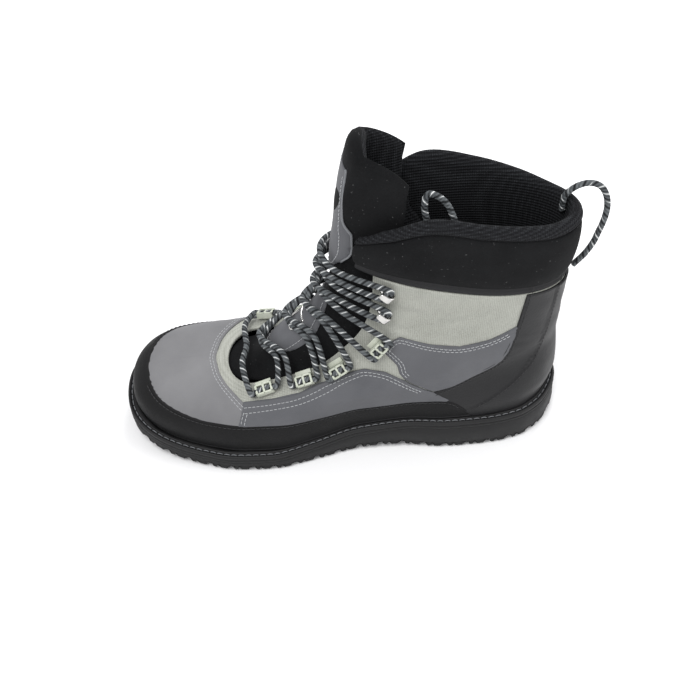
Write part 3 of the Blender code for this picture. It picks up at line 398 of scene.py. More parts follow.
def closed_shell(outer, inner, faces):
    """A solid from a sheet and its copy, with the rim between them."""
    edges = np.concatenate([faces[:, [0, 1]], faces[:, [1, 2]], faces[:, [2, 0]]])
    key = np.sort(edges, axis=1)
    order, counts = np.unique(key, axis=0, return_counts=True)[0:2]
    lone = {tuple(e) for e, n in zip(order.tolist(), counts.tolist()) if n == 1}
    rim = [e for e in edges.tolist() if tuple(sorted(e)) in lone]
    count = len(outer)
    walls = []
    for a, b in rim:
        walls.append((b, a, a + count))
        walls.append((b, a + count, b + count))
    under = faces[:, ::-1] + count
    solid = np.concatenate([faces, under, np.array(walls, int).reshape(-1, 3)])
    return np.concatenate([outer, inner]), solid


def to_line(points, route):
    """Distance from flat points to a polyline, and the direction away from it."""
    best = np.full(len(points), 1e9)
    away = np.zeros((len(points), 2))
    route = np.asarray(route, float)
    for a, b in zip(route, route[1:]):
        d = b - a
        t = np.clip(((points - a) @ d) / max(d @ d, 1e-12), 0, 1)
        gap = points - (a + t[:, None] * d)
        far = np.linalg.norm(gap, axis=1)
        closer = far < best
        best = np.where(closer, far, best)
        away[closer] = gap[closer] / np.maximum(far[closer], 1e-9)[:, None]
    return best, away


def inside_polygon(points, corners):
    """Even-odd test of flat points in a closed outline."""
    x, y = points[:, 0], points[:, 1]
    result = np.zeros(len(points), bool)
    corners = np.asarray(corners, float)
    for (ax, ay), (bx, by) in zip(corners, np.roll(corners, -1, axis=0)):
        if ay == by:
            continue
        crosses = ((ay > y) != (by > y)) & (x < (bx - ax) * (y - ay) / (by - ay) + ax)
        result ^= crosses
    return result


def rounded(route, steps=6):
    """A smooth curve through a flat or spatial polyline."""
    pts = np.asarray(route, float)
    pts = np.concatenate([[2 * pts[0] - pts[1]], pts, [2 * pts[-1] - pts[-2]]])
    out = []
    for k in range(1, len(pts) - 2):
        out += [spline(*pts[k - 1:k + 3], s / steps) for s in range(steps)]
    out.append(pts[-2])
    return np.array(out)


def even(route, spacing):
    """Even points along a route."""
    route = np.asarray(route, float)
    steps = np.linalg.norm(np.diff(route, axis=0), axis=1)
    at = np.concatenate([[0], np.cumsum(steps)])
    count = max(int(round(at[-1] / spacing)), 2)
    want = np.linspace(0, at[-1], count + 1)
    return np.stack([np.interp(want, at, route[:, k]) for k in range(route.shape[1])], -1)


def frames_along(route):
    """Directions along a route and two steady cross directions."""
    along = unit(np.gradient(route, axis=0))
    start = np.array([0.0, 0.0, 1.0]) if abs(along[0, 2]) < 0.9 else np.array([1.0, 0.0, 0.0])
    normal = np.cross(along[0], start)
    normals = []
    for direction in along:
        normal = normal - direction * (normal @ direction)
        normal = normal / max(np.linalg.norm(normal), 1e-12)
        normals.append(normal)
    normals = np.array(normals)
    return along, normals, np.cross(along, normals)


def triangles(quads):
    return np.concatenate([quads[:, [0, 1, 2]], quads[:, [0, 2, 3]]])


def end_fans(rings, count):
    """Triangles that close both ends of a tube; the two middles come after its points."""
    j = np.arange(count)
    n = (j + 1) % count
    base, middle = (rings - 1) * count, rings * count
    return np.concatenate([np.stack([n, j, np.full(count, middle)], -1),
                           np.stack([base + j, base + n, np.full(count, middle + 1)], -1)])


def tube_data(route, radius, sides=10, caps=True):
    """Vertices and triangles of a round tube; radius may change along it and round it."""
    route = np.asarray(route, float)
    _, normal, across = frames_along(route)
    turn = np.arange(sides) * 2 * math.pi / sides
    radius = np.broadcast_to(np.asarray(radius, float), (len(route), sides)) if np.ndim(radius) != 1 \
        else np.repeat(np.asarray(radius)[:, None], sides, 1)
    ring = (normal[:, None] * np.cos(turn)[None, :, None] + across[:, None] * np.sin(turn)[None, :, None])
    verts = (route[:, None] + ring * radius[..., None]).reshape(-1, 3)
    quads = grid_faces(len(route), sides, True)
    faces = triangles(quads)
    if caps:
        verts = np.concatenate([verts, route[:1], route[-1:]])
        faces = np.concatenate([faces, end_fans(len(route), sides)])
    return verts, faces


def merge(parts):
    """Several (verts, faces) as one."""
    verts, faces, count = [], [], 0
    for v, f in parts:
        verts.append(v)
        faces.append(f + count)
        count += len(v)
    return np.concatenate(verts), np.concatenate(faces)


# Materials


class Shade:
    """Short names for the nodes of one material, around its Principled shader."""

    def __init__(self, tree):
        self.nodes, self.links = tree.nodes, tree.links
        self.shader = tree.nodes["Principled BSDF"]

    def put(self, kind, **settings):
        made = self.nodes.new(kind)
        for key, value in settings.items():
            setattr(made, key, value)
        return made

    def to(self, socket, output):
        self.links.new(output, self.shader.inputs[socket])

    def where(self):
        return self.put("ShaderNodeTexCoord").outputs["Object"]

    def parts(self, vector):
        """The three parts of a vector, by name."""
        made = self.put("ShaderNodeSeparateXYZ")
        self.links.new(vector, made.inputs[0])
        return made.outputs

    def noise(self, vector, scale, detail=3.0, rough=0.6):
        made = self.put("ShaderNodeTexNoise")
        for socket, value in (("Scale", scale), ("Detail", detail), ("Roughness", rough)):
            made.inputs[socket].default_value = value
        self.links.new(vector, made.inputs["Vector"])
        return made.outputs["Fac"]

    def ramp(self, fac, *stops):
        """Colours at positions; a single number stands for a grey."""
        made = self.put("ShaderNodeValToRGB")
        elements = made.color_ramp.elements
        while len(elements) < len(stops):
            elements.new(0.5)
        for element, (position, colour) in zip(elements, stops):
            element.position = position
            element.color = (*(colour if isinstance(colour, tuple) else (colour,) * 3), 1)
        self.links.new(fac, made.inputs["Fac"])
        return made.outputs["Color"]

    def math(self, operation, *values):
        made = self.put("ShaderNodeMath", operation=operation)
        for socket, value in zip(made.inputs, values):
            if isinstance(value, (int, float)):
                socket.default_value = value
            else:
                self.links.new(value, socket)
        return made.outputs[0]

    def wave(self, value, turn):
        return self.math("SINE", self.math("MULTIPLY", value, turn))

    def mix(self, *shares):
        """Sum of outputs, each times its share."""
        total = None
        for output, share in shares:
            part = self.math("MULTIPLY", output, share)
            total = part if total is None else self.math("ADD", total, part)
        return total

    def bump(self, *heights):
        """Bumps in a chain: (height output, strength, distance)."""
        last = None
        for height, strength, distance in heights:
            made = self.put("ShaderNodeBump")
            made.inputs["Strength"].default_value = strength
            made.inputs["Distance"].default_value = distance
            self.links.new(height, made.inputs["Height"])
            if last:
                self.links.new(last, made.inputs["Normal"])
            last = made.outputs["Normal"]
        self.to("Normal", last)


def material(name, colour, roughness, build=None, metallic=0.0, specular=0.5, sheen=0.0):
    made = bpy.data.materials.new(name)
    made.use_nodes = True
    shade = Shade(made.node_tree)
    for socket, value in (("Base Color", (*colour, 1)), ("Roughness", roughness), ("Metallic", metallic),
                          ("Specular IOR Level", specular), ("Sheen Weight", sheen),
                          ("Sheen Roughness", 0.6)):
        shade.shader.inputs[socket].default_value = value
    if build:
        build(shade)
    made.diffuse_color = (*colour, 1)
    return made


def nubuck_build(base, dark, light):
    def build(s):
        where = s.where()
        broad, fine = s.noise(where, 26), s.noise(where, 2400, 2, 0.7)
        tone = s.mix((broad, 0.62), (fine, 0.38))
        s.to("Base Color", s.ramp(tone, (0.30, dark), (0.52, base), (0.74, light)))
        s.to("Roughness", s.ramp(broad, (0.3, 0.62), (0.7, 0.80)))
        s.bump((broad, 0.25, 0.0006), (fine, 0.35, 0.00012))
    return build


def canvas_build(s):
    """Fine upright ribs crossed by a finer thread."""
    where = s.where()
    parts = s.parts(where)
    lean = s.math("ADD", parts["X"], s.math("MULTIPLY", parts["Z"], -0.05))
    weave = s.mix((s.wave(lean, 5200), 0.5), (s.wave(parts["Z"], 8600), 0.32))
    broad, fleck = s.noise(where, 40), s.noise(where, 1500, 2)
    tone = s.mix((weave, 0.16), (fleck, 0.55), (broad, 0.3))
    s.to("Base Color", s.ramp(tone, (0.20, (0.215, 0.220, 0.190)), (0.45, (0.350, 0.357, 0.318)),
                              (0.70, (0.455, 0.462, 0.420))))
    s.bump((weave, 0.55, 0.00022), (broad, 0.2, 0.0008))


def pebble_build(scale, base, light, depth, rough_low, rough_high):
    def build(s):
        where = s.where()
        cells = s.put("ShaderNodeTexVoronoi", feature="SMOOTH_F1")
        cells.inputs["Scale"].default_value = scale
        cells.inputs["Smoothness"].default_value = 0.6
        s.links.new(where, cells.inputs["Vector"])
        broad, fine = s.noise(where, 34, 4), s.noise(where, 1900, 2)
        height = s.math("SUBTRACT", 1.0, cells.outputs["Distance"])
        s.to("Base Color", s.ramp(s.mix((broad, 0.5), (fine, 0.5)), (0.30, base), (0.75, light)))
        s.to("Roughness", s.ramp(broad, (0.3, rough_low), (0.7, rough_high)))
        s.bump((height, 0.5, depth), (fine, 0.2, 0.0001))
    return build


def mesh_build(pitch, base, light, depth):
    """Knit: rows of small cells with darker gaps, and specks."""
    def build(s):
        where = s.where()
        parts = s.parts(where)
        turn = 2 * math.pi / pitch
        a = s.wave(s.math("ADD", parts["X"], parts["Y"]), turn * 0.75)
        b = s.wave(s.math("SUBTRACT", parts["X"], parts["Y"]), turn * 0.75)
        cells = s.math("ADD", s.math("MULTIPLY", a, b), s.wave(parts["Z"], turn))
        fine, broad = s.noise(where, 1400, 2), s.noise(where, 30)
        tone = s.mix((cells, 0.12), (fine, 0.7), (broad, 0.15))
        s.to("Base Color", s.ramp(tone, (0.25, base), (0.60, light), (0.80, tuple(3.2 * v for v in light))))
        s.bump((cells, 0.5, depth), (fine, 0.3, 0.0002), (broad, 0.2, 0.001))
    return build


def felt_build(s):
    """Smooth dark knit with a soft grain and a few pale specks."""
    where = s.where()
    broad, fine, specks = s.noise(where, 38, 4), s.noise(where, 1700, 3, 0.7), s.noise(where, 620, 1)
    tone = s.mix((broad, 0.45), (fine, 0.55))
    base = s.ramp(tone, (0.35, (0.0035, 0.0036, 0.004)), (0.62, (0.0105, 0.0108, 0.0115)))
    pale = s.ramp(specks, (0.735, 0.0), (0.79, 0.07))
    both = s.put("ShaderNodeMixRGB", blend_type="ADD")
    both.inputs["Fac"].default_value = 1.0
    s.links.new(base, both.inputs["Color1"])
    s.links.new(pale, both.inputs["Color2"])
    s.to("Base Color", both.outputs["Color"])
    s.bump((broad, 0.25, 0.0010), (fine, 0.35, 0.00025))


def rubber_build(s):
    where = s.where()
    broad, fine = s.noise(where, 45, 4), s.noise(where, 1500)
    s.to("Base Color", s.ramp(broad, (0.3, (0.006, 0.006, 0.0063)), (0.75, (0.017, 0.017, 0.0175))))
    s.to("Roughness", s.ramp(broad, (0.3, 0.48), (0.7, 0.72)))
    s.bump((broad, 0.2, 0.0007), (fine, 0.35, 0.0002))


def plastic_build(s):
    where = s.where()
    broad, fine = s.noise(where, 120), s.noise(where, 1800, 2)
    s.to("Base Color", s.ramp(broad, (0.3, (0.40, 0.43, 0.345)), (0.7, (0.56, 0.58, 0.50))))
    s.bump((fine, 0.15, 0.0001))


def metal_build(s):
    fine = s.noise(s.where(), 700, 4)
    s.to("Roughness", s.ramp(fine, (0.3, 0.10), (0.8, 0.30)))
    s.bump((fine, 0.12, 0.0001))


def lace_build(s):
    """Braid on a tube whose UV runs along the cord in X and round it in Y."""
    parts = s.parts(s.put("ShaderNodeTexCoord").outputs["UV"])
    full = 2 * math.pi

    def strand(operation, along, across):
        return s.math("SINE", s.math(operation, s.math("MULTIPLY", parts["X"], full * along),
                                     s.math("MULTIPLY", parts["Y"], full * across)))

    a, b = strand("ADD", 1, 2), strand("SUBTRACT", 1, 2)
    fleck = s.math("MULTIPLY", strand("ADD", 0.37, 1), a)
    s.to("Base Color", s.ramp(
        s.math("MULTIPLY_ADD", fleck, 0.5, 0.5), (0.16, (0.008, 0.009, 0.010)),
        (0.36, (0.045, 0.050, 0.054)), (0.72, (0.105, 0.115, 0.120)), (0.88, (0.14, 0.15, 0.155)),
        (0.95, (0.62, 0.63, 0.62))))
    s.bump((s.math("MULTIPLY", a, b), 0.6, 0.0004))


def thread_build(s):
    fine = s.noise(s.where(), 1700, 2)
    base = s.shader.inputs["Base Color"].default_value[:3]
    s.to("Base Color", s.ramp(fine, (0.3, tuple(v * 0.7 for v in base)),
                              (0.7, tuple(min(v * 1.2, 1) for v in base))))
    s.bump((fine, 0.4, 0.00015))


M = {
    "canvas": material("canvas", (0.42, 0.43, 0.38), 0.86, canvas_build, specular=0.25, sheen=0.1),
    "lining": material("lining", (0.02, 0.02, 0.022), 0.95,
                       mesh_build(0.0022, (0.004, 0.004, 0.005), (0.016, 0.017, 0.019), 0.0006),
                       specular=0.2),
    "vamp": material("vamp", (0.15, 0.15, 0.16), 0.72,
                     nubuck_build((0.165, 0.165, 0.170), (0.135, 0.135, 0.140), (0.198, 0.198, 0.203)),
                     specular=0.22, sheen=0.05),
    "nubuck": material("nubuck", (0.12, 0.125, 0.135), 0.72,
                       nubuck_build((0.098, 0.100, 0.108), (0.074, 0.076, 0.083), (0.128, 0.131, 0.139)),
                       specular=0.22, sheen=0.05),
    "rand": material("rand", (0.012, 0.012, 0.013), 0.6,
                     pebble_build(950, (0.003, 0.003, 0.0032), (0.010, 0.010, 0.0105), 0.0003, 0.50, 0.72),
                     specular=0.18),
    "leather": material("leather", (0.02, 0.02, 0.022), 0.42,
                        pebble_build(620, (0.005, 0.005, 0.0055), (0.014, 0.014, 0.015), 0.00016, 0.42, 0.6),
                        specular=0.30),
    "cuff": material("cuff", (0.01, 0.01, 0.011), 0.95,
                     felt_build, specular=0.08, sheen=0.02),
    "piping": material("piping", (0.01, 0.01, 0.011), 0.75, thread_build, specular=0.35),
    "rubber": material("rubber", (0.02, 0.02, 0.02), 0.6, rubber_build, specular=0.30),
    "keeper": material("keeper", (0.48, 0.50, 0.42), 0.42, plastic_build),
    "metal": material("metal", (0.62, 0.61, 0.59), 0.18, metal_build, metallic=1.0),
    "lace": material("lace", (0.12, 0.13, 0.14), 0.8, lace_build, specular=0.3),
    "pale_thread": material("pale_thread", (0.40, 0.41, 0.42), 0.7, thread_build),
    "grey_thread": material("grey_thread", (0.16, 0.165, 0.175), 0.7, thread_build),
    "dark_thread": material("dark_thread", (0.02, 0.02, 0.021), 0.7, thread_build),
    "insole": material("insole", (0.03, 0.03, 0.033), 0.9,
                       mesh_build(0.0018, (0.008, 0.008, 0.009), (0.030, 0.031, 0.034), 0.0003)),
}


# Camera, light and floor

camera_data = bpy.data.cameras.new("camera")
camera_data.lens = CAMERA_LENS
camera_data.sensor_width = 36.0
camera_data.clip_start, camera_data.clip_end = 0.02, 20.0
camera = bpy.data.objects.new("camera", camera_data)
bpy.context.scene.collection.objects.link(camera)
axes = np.stack([CAMERA_RIGHT, CAMERA_UP, -np.array(CAMERA_FORWARD)], axis=1)
camera_matrix = Matrix(axes.tolist()).to_4x4()
camera_matrix.translation = CAMERA_PLACE
camera.matrix_world = camera_matrix
bpy.context.scene.camera = camera


def area_light(name, place_at, look_at, size, power, colour=(1, 1, 1)):
    data = bpy.data.lights.new(name, "AREA")
    data.shape = "DISK"
    data.size = size
    data.energy = power
    data.color = colour
    lamp = bpy.data.objects.new(name, data)
    bpy.context.scene.collection.objects.link(lamp)
    lamp.location = place_at
    lamp.rotation_euler = (Vector(look_at) - Vector(place_at)).to_track_quat("-Z", "Y").to_euler()
    return lamp


area_light("key", (-0.5, -0.6, 1.5), (-0.1, 0, 0.08), 0.9, 16)
area_light("back", (0.3, 1.1, 1.1), (-0.1, 0, 0.1), 0.9, 13)
area_light("side", (1.2, -0.4, 0.9), (-0.1, 0, 0.1), 0.8, 7)
world = bpy.data.worlds.new("studio")
bpy.context.scene.world = world
world.use_nodes = True
world.node_tree.nodes["Background"].inputs["Color"].default_value = (0.98, 0.98, 1.0, 1)
world.node_tree.nodes["Background"].inputs["Strength"].default_value = 0.75
bpy.context.scene.view_settings.view_transform = "Standard"

floor_mesh = bpy.data.meshes.new("floor")
FLOOR = 6.0
floor_mesh.from_pydata([(-FLOOR, -FLOOR, -0.0004), (FLOOR, -FLOOR, -0.0004), (FLOOR, FLOOR, -0.0004),
                        (-FLOOR, FLOOR, -0.0004)], [], [(0, 1, 2, 3)])
floor = bpy.data.objects.new("floor", floor_mesh)
bpy.context.scene.collection.objects.link(floor)
floor_mesh.materials.append(material("floor", (0.88, 0.88, 0.88), 0.9, specular=0.1))


# Laces and cords


def braid(route, diameter):
    """A round braided cord as a mesh tube with UVs along and round it."""
    length = diameter * 0.14
    route = even(rounded(route, 8), length)
    sides = 16
    turn = np.arange(sides) / sides
    along = np.arange(len(route)) * length / diameter
    plait = np.sin(2 * math.pi * (along[:, None] + 2 * turn[None])) * np.sin(
        2 * math.pi * (along[:, None] - 2 * turn[None]))
    radius = diameter / 2 * (0.955 + 0.045 * plait)
    verts, faces = tube_data(route, radius, sides)
    uv = np.stack([np.repeat(along, sides), np.tile(turn, len(route))], -1)
    uv = np.concatenate([uv, [[along[0], 0.5], [along[-1], 0.5]]])
    return verts, faces, uv


def with_uv(obj, faces, uv):
    """UVs for a tube, without a jump where it closes round."""
    layer = obj.data.uv_layers.new(name="along_and_round")
    values = uv[faces].copy()
    wide = values[..., 1].max(axis=1) - values[..., 1].min(axis=1) > 0.6
    low = values[..., 1] < 0.5
    values[..., 1] = np.where(wide[:, None] & low, values[..., 1] + 1, values[..., 1])
    layer.data.foreach_set("uv", values.reshape(-1, 2).ravel().astype(np.float32))


def braided_piece(name, routes, diameter):
    parts, uvs = [], []
    for route in routes:
        verts, faces, uv = braid(route, diameter)
        parts.append((verts, faces))
        uvs.append(uv)
    verts, faces = merge(parts)
    obj = new_mesh(name, verts, faces, M["lace"])
    with_uv(obj, faces, np.concatenate(uvs))
    return obj


for cord_name, cord_route in (("lace_loop", LACE_LOOP), ("pull_loop", PULL_LOOP)):
    line = even(rounded(cord_route, 8), 0.002)
    piece = braided_piece(cord_name + "_braid", [cord_route], LACE_WIDE * 0.93)
    place(piece, [cord_name])


# Relief of the upper: soft hollows and creases in the boot's own sizes
# share of length, share of height, side, reach along, reach up, depth as a share of WALL
HOLLOWS = [
    (0.560, 0.40, -1, 0.050, 0.060, -0.35), (0.330, 0.62, -1, 0.060, 0.090, -0.30),
    (0.215, 0.66, -1, 0.050, 0.060, 0.22), (0.440, 0.23, -1, 0.090, 0.030, 0.25),
    (0.620, 0.21, -1, 0.050, 0.030, 0.18), (0.250, 0.36, -1, 0.060, 0.050, 0.22),
    (0.560, 0.40, 1, 0.050, 0.060, -0.30), (0.300, 0.60, 1, 0.060, 0.090, -0.35),
    (0.440, 0.22, 1, 0.090, 0.030, 0.25), (0.820, 0.20, 1, 0.060, 0.030, -0.22),
    (0.850, 0.22, -1, 0.040, 0.030, -0.22), (0.930, 0.14, -1, 0.040, 0.050, 0.15)]
# creases: places of the two ends in shares, side, half width in metres, depth in metres
CREASES = [
    ((0.395, 0.60), (0.330, 0.56), -1, 0.0022, 0.00050), ((0.385, 0.70), (0.300, 0.66), -1, 0.0028, 0.00045),
    ((0.270, 0.60), (0.180, 0.64), -1, 0.0030, 0.00040), ((0.470, 0.42), (0.410, 0.36), -1, 0.0020, 0.00045),
    ((0.395, 0.61), (0.300, 0.57), 1, 0.0024, 0.00050), ((0.300, 0.70), (0.200, 0.63), 1, 0.0030, 0.00045),
    ((0.790, 0.22), (0.740, 0.20), 1, 0.0030, 0.00040), ((0.780, 0.23), (0.745, 0.19), -1, 0.0028, 0.00030),
    ((0.130, 0.46), (0.060, 0.40), -1, 0.0026, 0.00035), ((0.120, 0.60), (0.040, 0.56), 1, 0.0028, 0.00035)]


def relief(points, side):
    """How far the surface stands off its plain form, in metres."""
    u = (UPPER_HEEL - points[:, 0]) / UPPER_LENGTH
    h = (points[:, 2] - feather(points[:, 0])) / UPPER_HEIGHT
    off = np.zeros(len(points))
    for u0, h0, which, wide, high, depth in HOLLOWS:
        near = np.exp(-((u - u0) / wide) ** 2 - ((h - h0) / high) ** 2)
        off += np.where(side == which, near, 0) * depth * WALL
    flat = np.stack([points[:, 0], points[:, 2]], -1)
    for a, b, which, wide, depth in CREASES:
        ends = np.array([side_place(*a), side_place(*b)], float)
        far, _ = to_line(flat, ends)
        along = np.clip(((flat - ends[0]) @ (ends[1] - ends[0])) / ((ends[1] - ends[0]) ** 2).sum(), 0, 1)
        fade = np.sin(np.clip(along, 0.02, 0.98) * math.pi) ** 0.6
        fold = -np.exp(-(far / wide) ** 2) + 0.45 * np.exp(-((far - 1.9 * wide) / wide) ** 2)
        off += np.where(side == which, fold * fade * depth, 0)
    fades = np.clip((h + 0.0) / 0.10, 0, 1)
    return off * fades


def turn_values(count, low, high):
    """Angles round the boot with even steps on the surface; 0 is the heel, pi the toe."""
    dense = np.linspace(0, 2 * math.pi, 2001)
    side = np.where(dense < math.pi, -1, 1)
    ring = last_points(2.0, (1 + np.cos(dense)) / 2, side)
    at = np.concatenate([[0], np.cumsum(np.linalg.norm(np.diff(ring, axis=0), axis=1))])
    ends = np.interp([low, high], dense, at)
    return np.interp(np.linspace(ends[0], ends[1], count), at, dense)


def surface_grid(levels, turns):
    """Points, normals and sides of a grid on the upper, with its relief."""
    level = np.repeat(levels, len(turns))
    turn = np.tile(turns, len(levels))
    side = np.where(turn < math.pi, -1, 1)
    share = (1 + np.cos(turn)) / 2
    points = last_points(level, share, side)
    normals = last_normals(level, np.clip(share, 0.0008, 0.9992), side)
    points = points + normals * relief(points, side)[:, None]
    return points, normals, side


def flat_side(points):
    return np.stack([points[:, 0], points[:, 2]], -1)


def world_line(route):
    x, z = side_place([row[0] for row in route], [row[1] for row in route])
    return np.stack([x, z], -1)


def surface_distance(gap, away, normals):
    """A side view distance as a distance along the surface."""
    slope = away[:, 0] * normals[:, 0] + away[:, 1] * normals[:, 2]
    return gap / np.sqrt(np.clip(1 - slope ** 2, 0.12, 1))


def throat_value(points):
    """Above 0 outside the throat's opening."""
    half = THROAT_WIDTH / 2
    corners = world_line(THROAT_SIDE)
    flat = flat_side(points)
    far, _ = to_line(flat, np.concatenate([corners, corners[:1]]))
    deep = np.where(inside_polygon(flat, corners), far, -far)
    slot_value = np.minimum(deep, half - np.abs(points[:, 1]))
    round_x = UPPER_HEEL - THROAT_ROUND * UPPER_LENGTH
    reach = (THROAT_END - THROAT_ROUND) * UPPER_LENGTH
    oval = 1 - np.sqrt(((points[:, 0] - round_x) / reach) ** 2 + (points[:, 1] / half) ** 2)
    end_value = np.minimum(oval * half, round_x + 0.002 - points[:, 0])
    end_value = np.where(points[:, 2] > feather(round_x) + 0.08 * UPPER_HEIGHT, end_value, -1)
    return -np.maximum(slot_value, end_value)


def panel(name, nodes, paint, levels, turns, outline, edges, height, cut=None, keep_side=0):
    """A panel on the upper: outline in the side view, rounded along its edges."""
    points, normals, side = surface_grid(levels, turns)
    faces = triangles(grid_faces(len(levels), len(turns)))
    flat = flat_side(points)
    corners = world_line(outline)
    far, _ = to_line(flat, np.concatenate([corners, corners[:1]]))
    value = np.where(inside_polygon(flat, corners), far, -far)
    if keep_side:
        value = np.minimum(value, np.where(side == keep_side, 1, -1) * 0.01)
    near = np.full(len(points), 1.0)
    for edge in edges:
        gap, direction = to_line(flat, rounded(world_line(edge), 5))
        near = np.minimum(near, surface_distance(gap, direction, normals))
    if cut is not None:
        away_from_cut, gap = cut(points)
        value = np.minimum(value, away_from_cut)
        near = np.minimum(near, gap)
    soft = 0.0016
    rise = height * np.sqrt(np.clip(1 - (1 - np.clip(near / soft, 0, 1)) ** 2, 0, 1))
    groove = np.exp(-((near - 0.0026) / 0.0007) ** 2) * 0.00022
    data = np.concatenate([normals, (rise - groove)[:, None]], axis=1)
    verts, faces, data = clip(points, value, faces, data)
    normals, rise = unit(data[:, :3]), data[:, 3]
    outer = verts + normals * (0.00012 + rise)[:, None]
    inner = verts + normals * 0.00002
    solid_verts, solid_faces = closed_shell(outer, inner, faces)
    obj = new_mesh(name, solid_verts, solid_faces, M[paint])
    return place(obj, nodes)


def make_upper_piece():
    levels = np.concatenate([np.linspace(0, 3, 26)[:-1], np.linspace(3, 8, 74)[:-1],
                             np.linspace(8, COLLAR_BASE, 42)])
    turns = turn_values(420, 0, 2 * math.pi)[:-1]
    points, normals, _ = surface_grid(levels, turns)
    faces = triangles(grid_faces(len(levels), len(turns), True))
    value = throat_value(points)
    verts, faces, normals = clip(points, value, faces, normals)
    normals = unit(normals)
    inner = verts - normals * WALL
    solid_verts, solid_faces = closed_shell(verts, inner, faces)
    obj = new_mesh("upper_canvas", solid_verts, solid_faces, M["canvas"])
    obj.data.materials.append(M["lining"])
    slots_of = np.zeros(len(solid_faces), np.int32)
    slots_of[len(faces):2 * len(faces)] = 1
    obj.data.polygons.foreach_set("material_index", slots_of)
    return place(obj, ["upper"])


def raised(edge, rise):
    return [(u, h + rise) for u, h in edge]


def plan_arc():
    """The vamp's inner edge from above, and a test of points against it."""
    x = UPPER_HEEL - np.array([row[0] for row in VAMP_ARC]) * UPPER_LENGTH
    y = np.array([row[1] for row in VAMP_ARC]) * ANKLE_WIDTH
    middle = centre(x) * 0.5
    lateral = np.stack([x, middle - y], -1)[::-1]
    medial = np.stack([x, middle + y], -1)[1:]
    line = rounded(np.concatenate([lateral, medial]), 5)

    def test(points):
        flat = points[:, :2]
        far, _ = to_line(flat, line)
        closed = np.concatenate([line, [[0.0, line[-1][1]], [0.0, line[0][1]]]])
        inside = inside_polygon(flat, closed)
        return np.where(inside, -far, far), far * 1.15

    return line, test


def make_panels():
    _, arc_test = plan_arc()
    around = (0.30, 2 * math.pi - 0.30)
    rand_top = [tuple(row) for row in rounded(RAND_TOP, 4)]
    rand_outline = [(u, -0.03) for u in np.linspace(RAND_TOP[-1][0], 1.06, 24)] + [(1.06, 0.174)] + rand_top
    panel("toe_rand_skin", ["toe_rand"], "rand", np.linspace(0, 3.7, 62),
          turn_values(600, *around), rand_outline, [RAND_TOP], 0.0016)
    lower = [row for row in RAND_TOP if row[0] > VAMP_SEAM]
    vamp_outline = raised(lower, -0.02) + [(VAMP_SEAM, 0.149), (0.724, 0.15), (0.708, 0.26), (0.700, 0.60)]
    vamp_outline += [(1.03, 0.60)]
    vamp_seam = [(0.724, 0.13), (0.708, 0.26), (0.700, 0.60)]
    panel("vamp_skin", ["vamp"], "vamp", np.linspace(1.6, 6.6, 92),
          turn_values(250, math.pi * 0.62, math.pi * 1.38), vamp_outline, [vamp_seam], 0.0010, arc_test)
    for side, word in ((-1, "lateral"), (1, "medial")):
        ends = (0.55, math.pi * 0.84) if side < 0 else (math.pi * 1.16, 2 * math.pi - 0.55)
        under = [row for row in RAND_TOP if 0.25 < row[0] < 0.7369]
        front = [(0.7364, 0.168), (0.7205, 0.2443)]
        outline = front + QUARTER_TOP[1:] + [(0.285, 0.19), (0.250, 0.14)] + raised(under, -0.03)[::-1]
        quarter_edges = [front, QUARTER_TOP]
        panel("quarter_skin_" + word, ["quarter_" + word], "nubuck", np.linspace(1.4, 8.6, 84),
              turn_values(250, *ends), outline, quarter_edges, 0.0014, None, side)
        back = [(0.105, 0.504), (0.100, 0.40), (0.115, 0.32), (0.190, 0.25)]
        ankle_outline = ANKLE_FRONT + ANKLE_TOP + [(0.095, 0.54)] + back
        panel("ankle_skin_" + word, ["ankle_" + word], "nubuck", np.linspace(3.0, 10.6, 92),
              turn_values(210, *((0.25, 2.3) if side < 0 else (2 * math.pi - 2.3, 2 * math.pi - 0.25))),
              ankle_outline, [ANKLE_FRONT + ANKLE_TOP, [ANKLE_TOP[-1], (0.09, 0.55)]], 0.0010, None, side)
    behind = [row for row in RAND_TOP if row[0] < 0.345]
    counter_outline = [(-0.12, 0.90)] + COUNTER_FRONT + raised(behind, -0.02)
    counter_outline += [(0.180, -0.02), (-0.12, -0.02)]
    turns = turn_values(330, 0, 2 * math.pi)
    turns = np.concatenate([turns[(turns > 2 * math.pi - 1.55)] - 2 * math.pi, turns[turns < 1.55][1:]])
    panel_counter(counter_outline, turns)


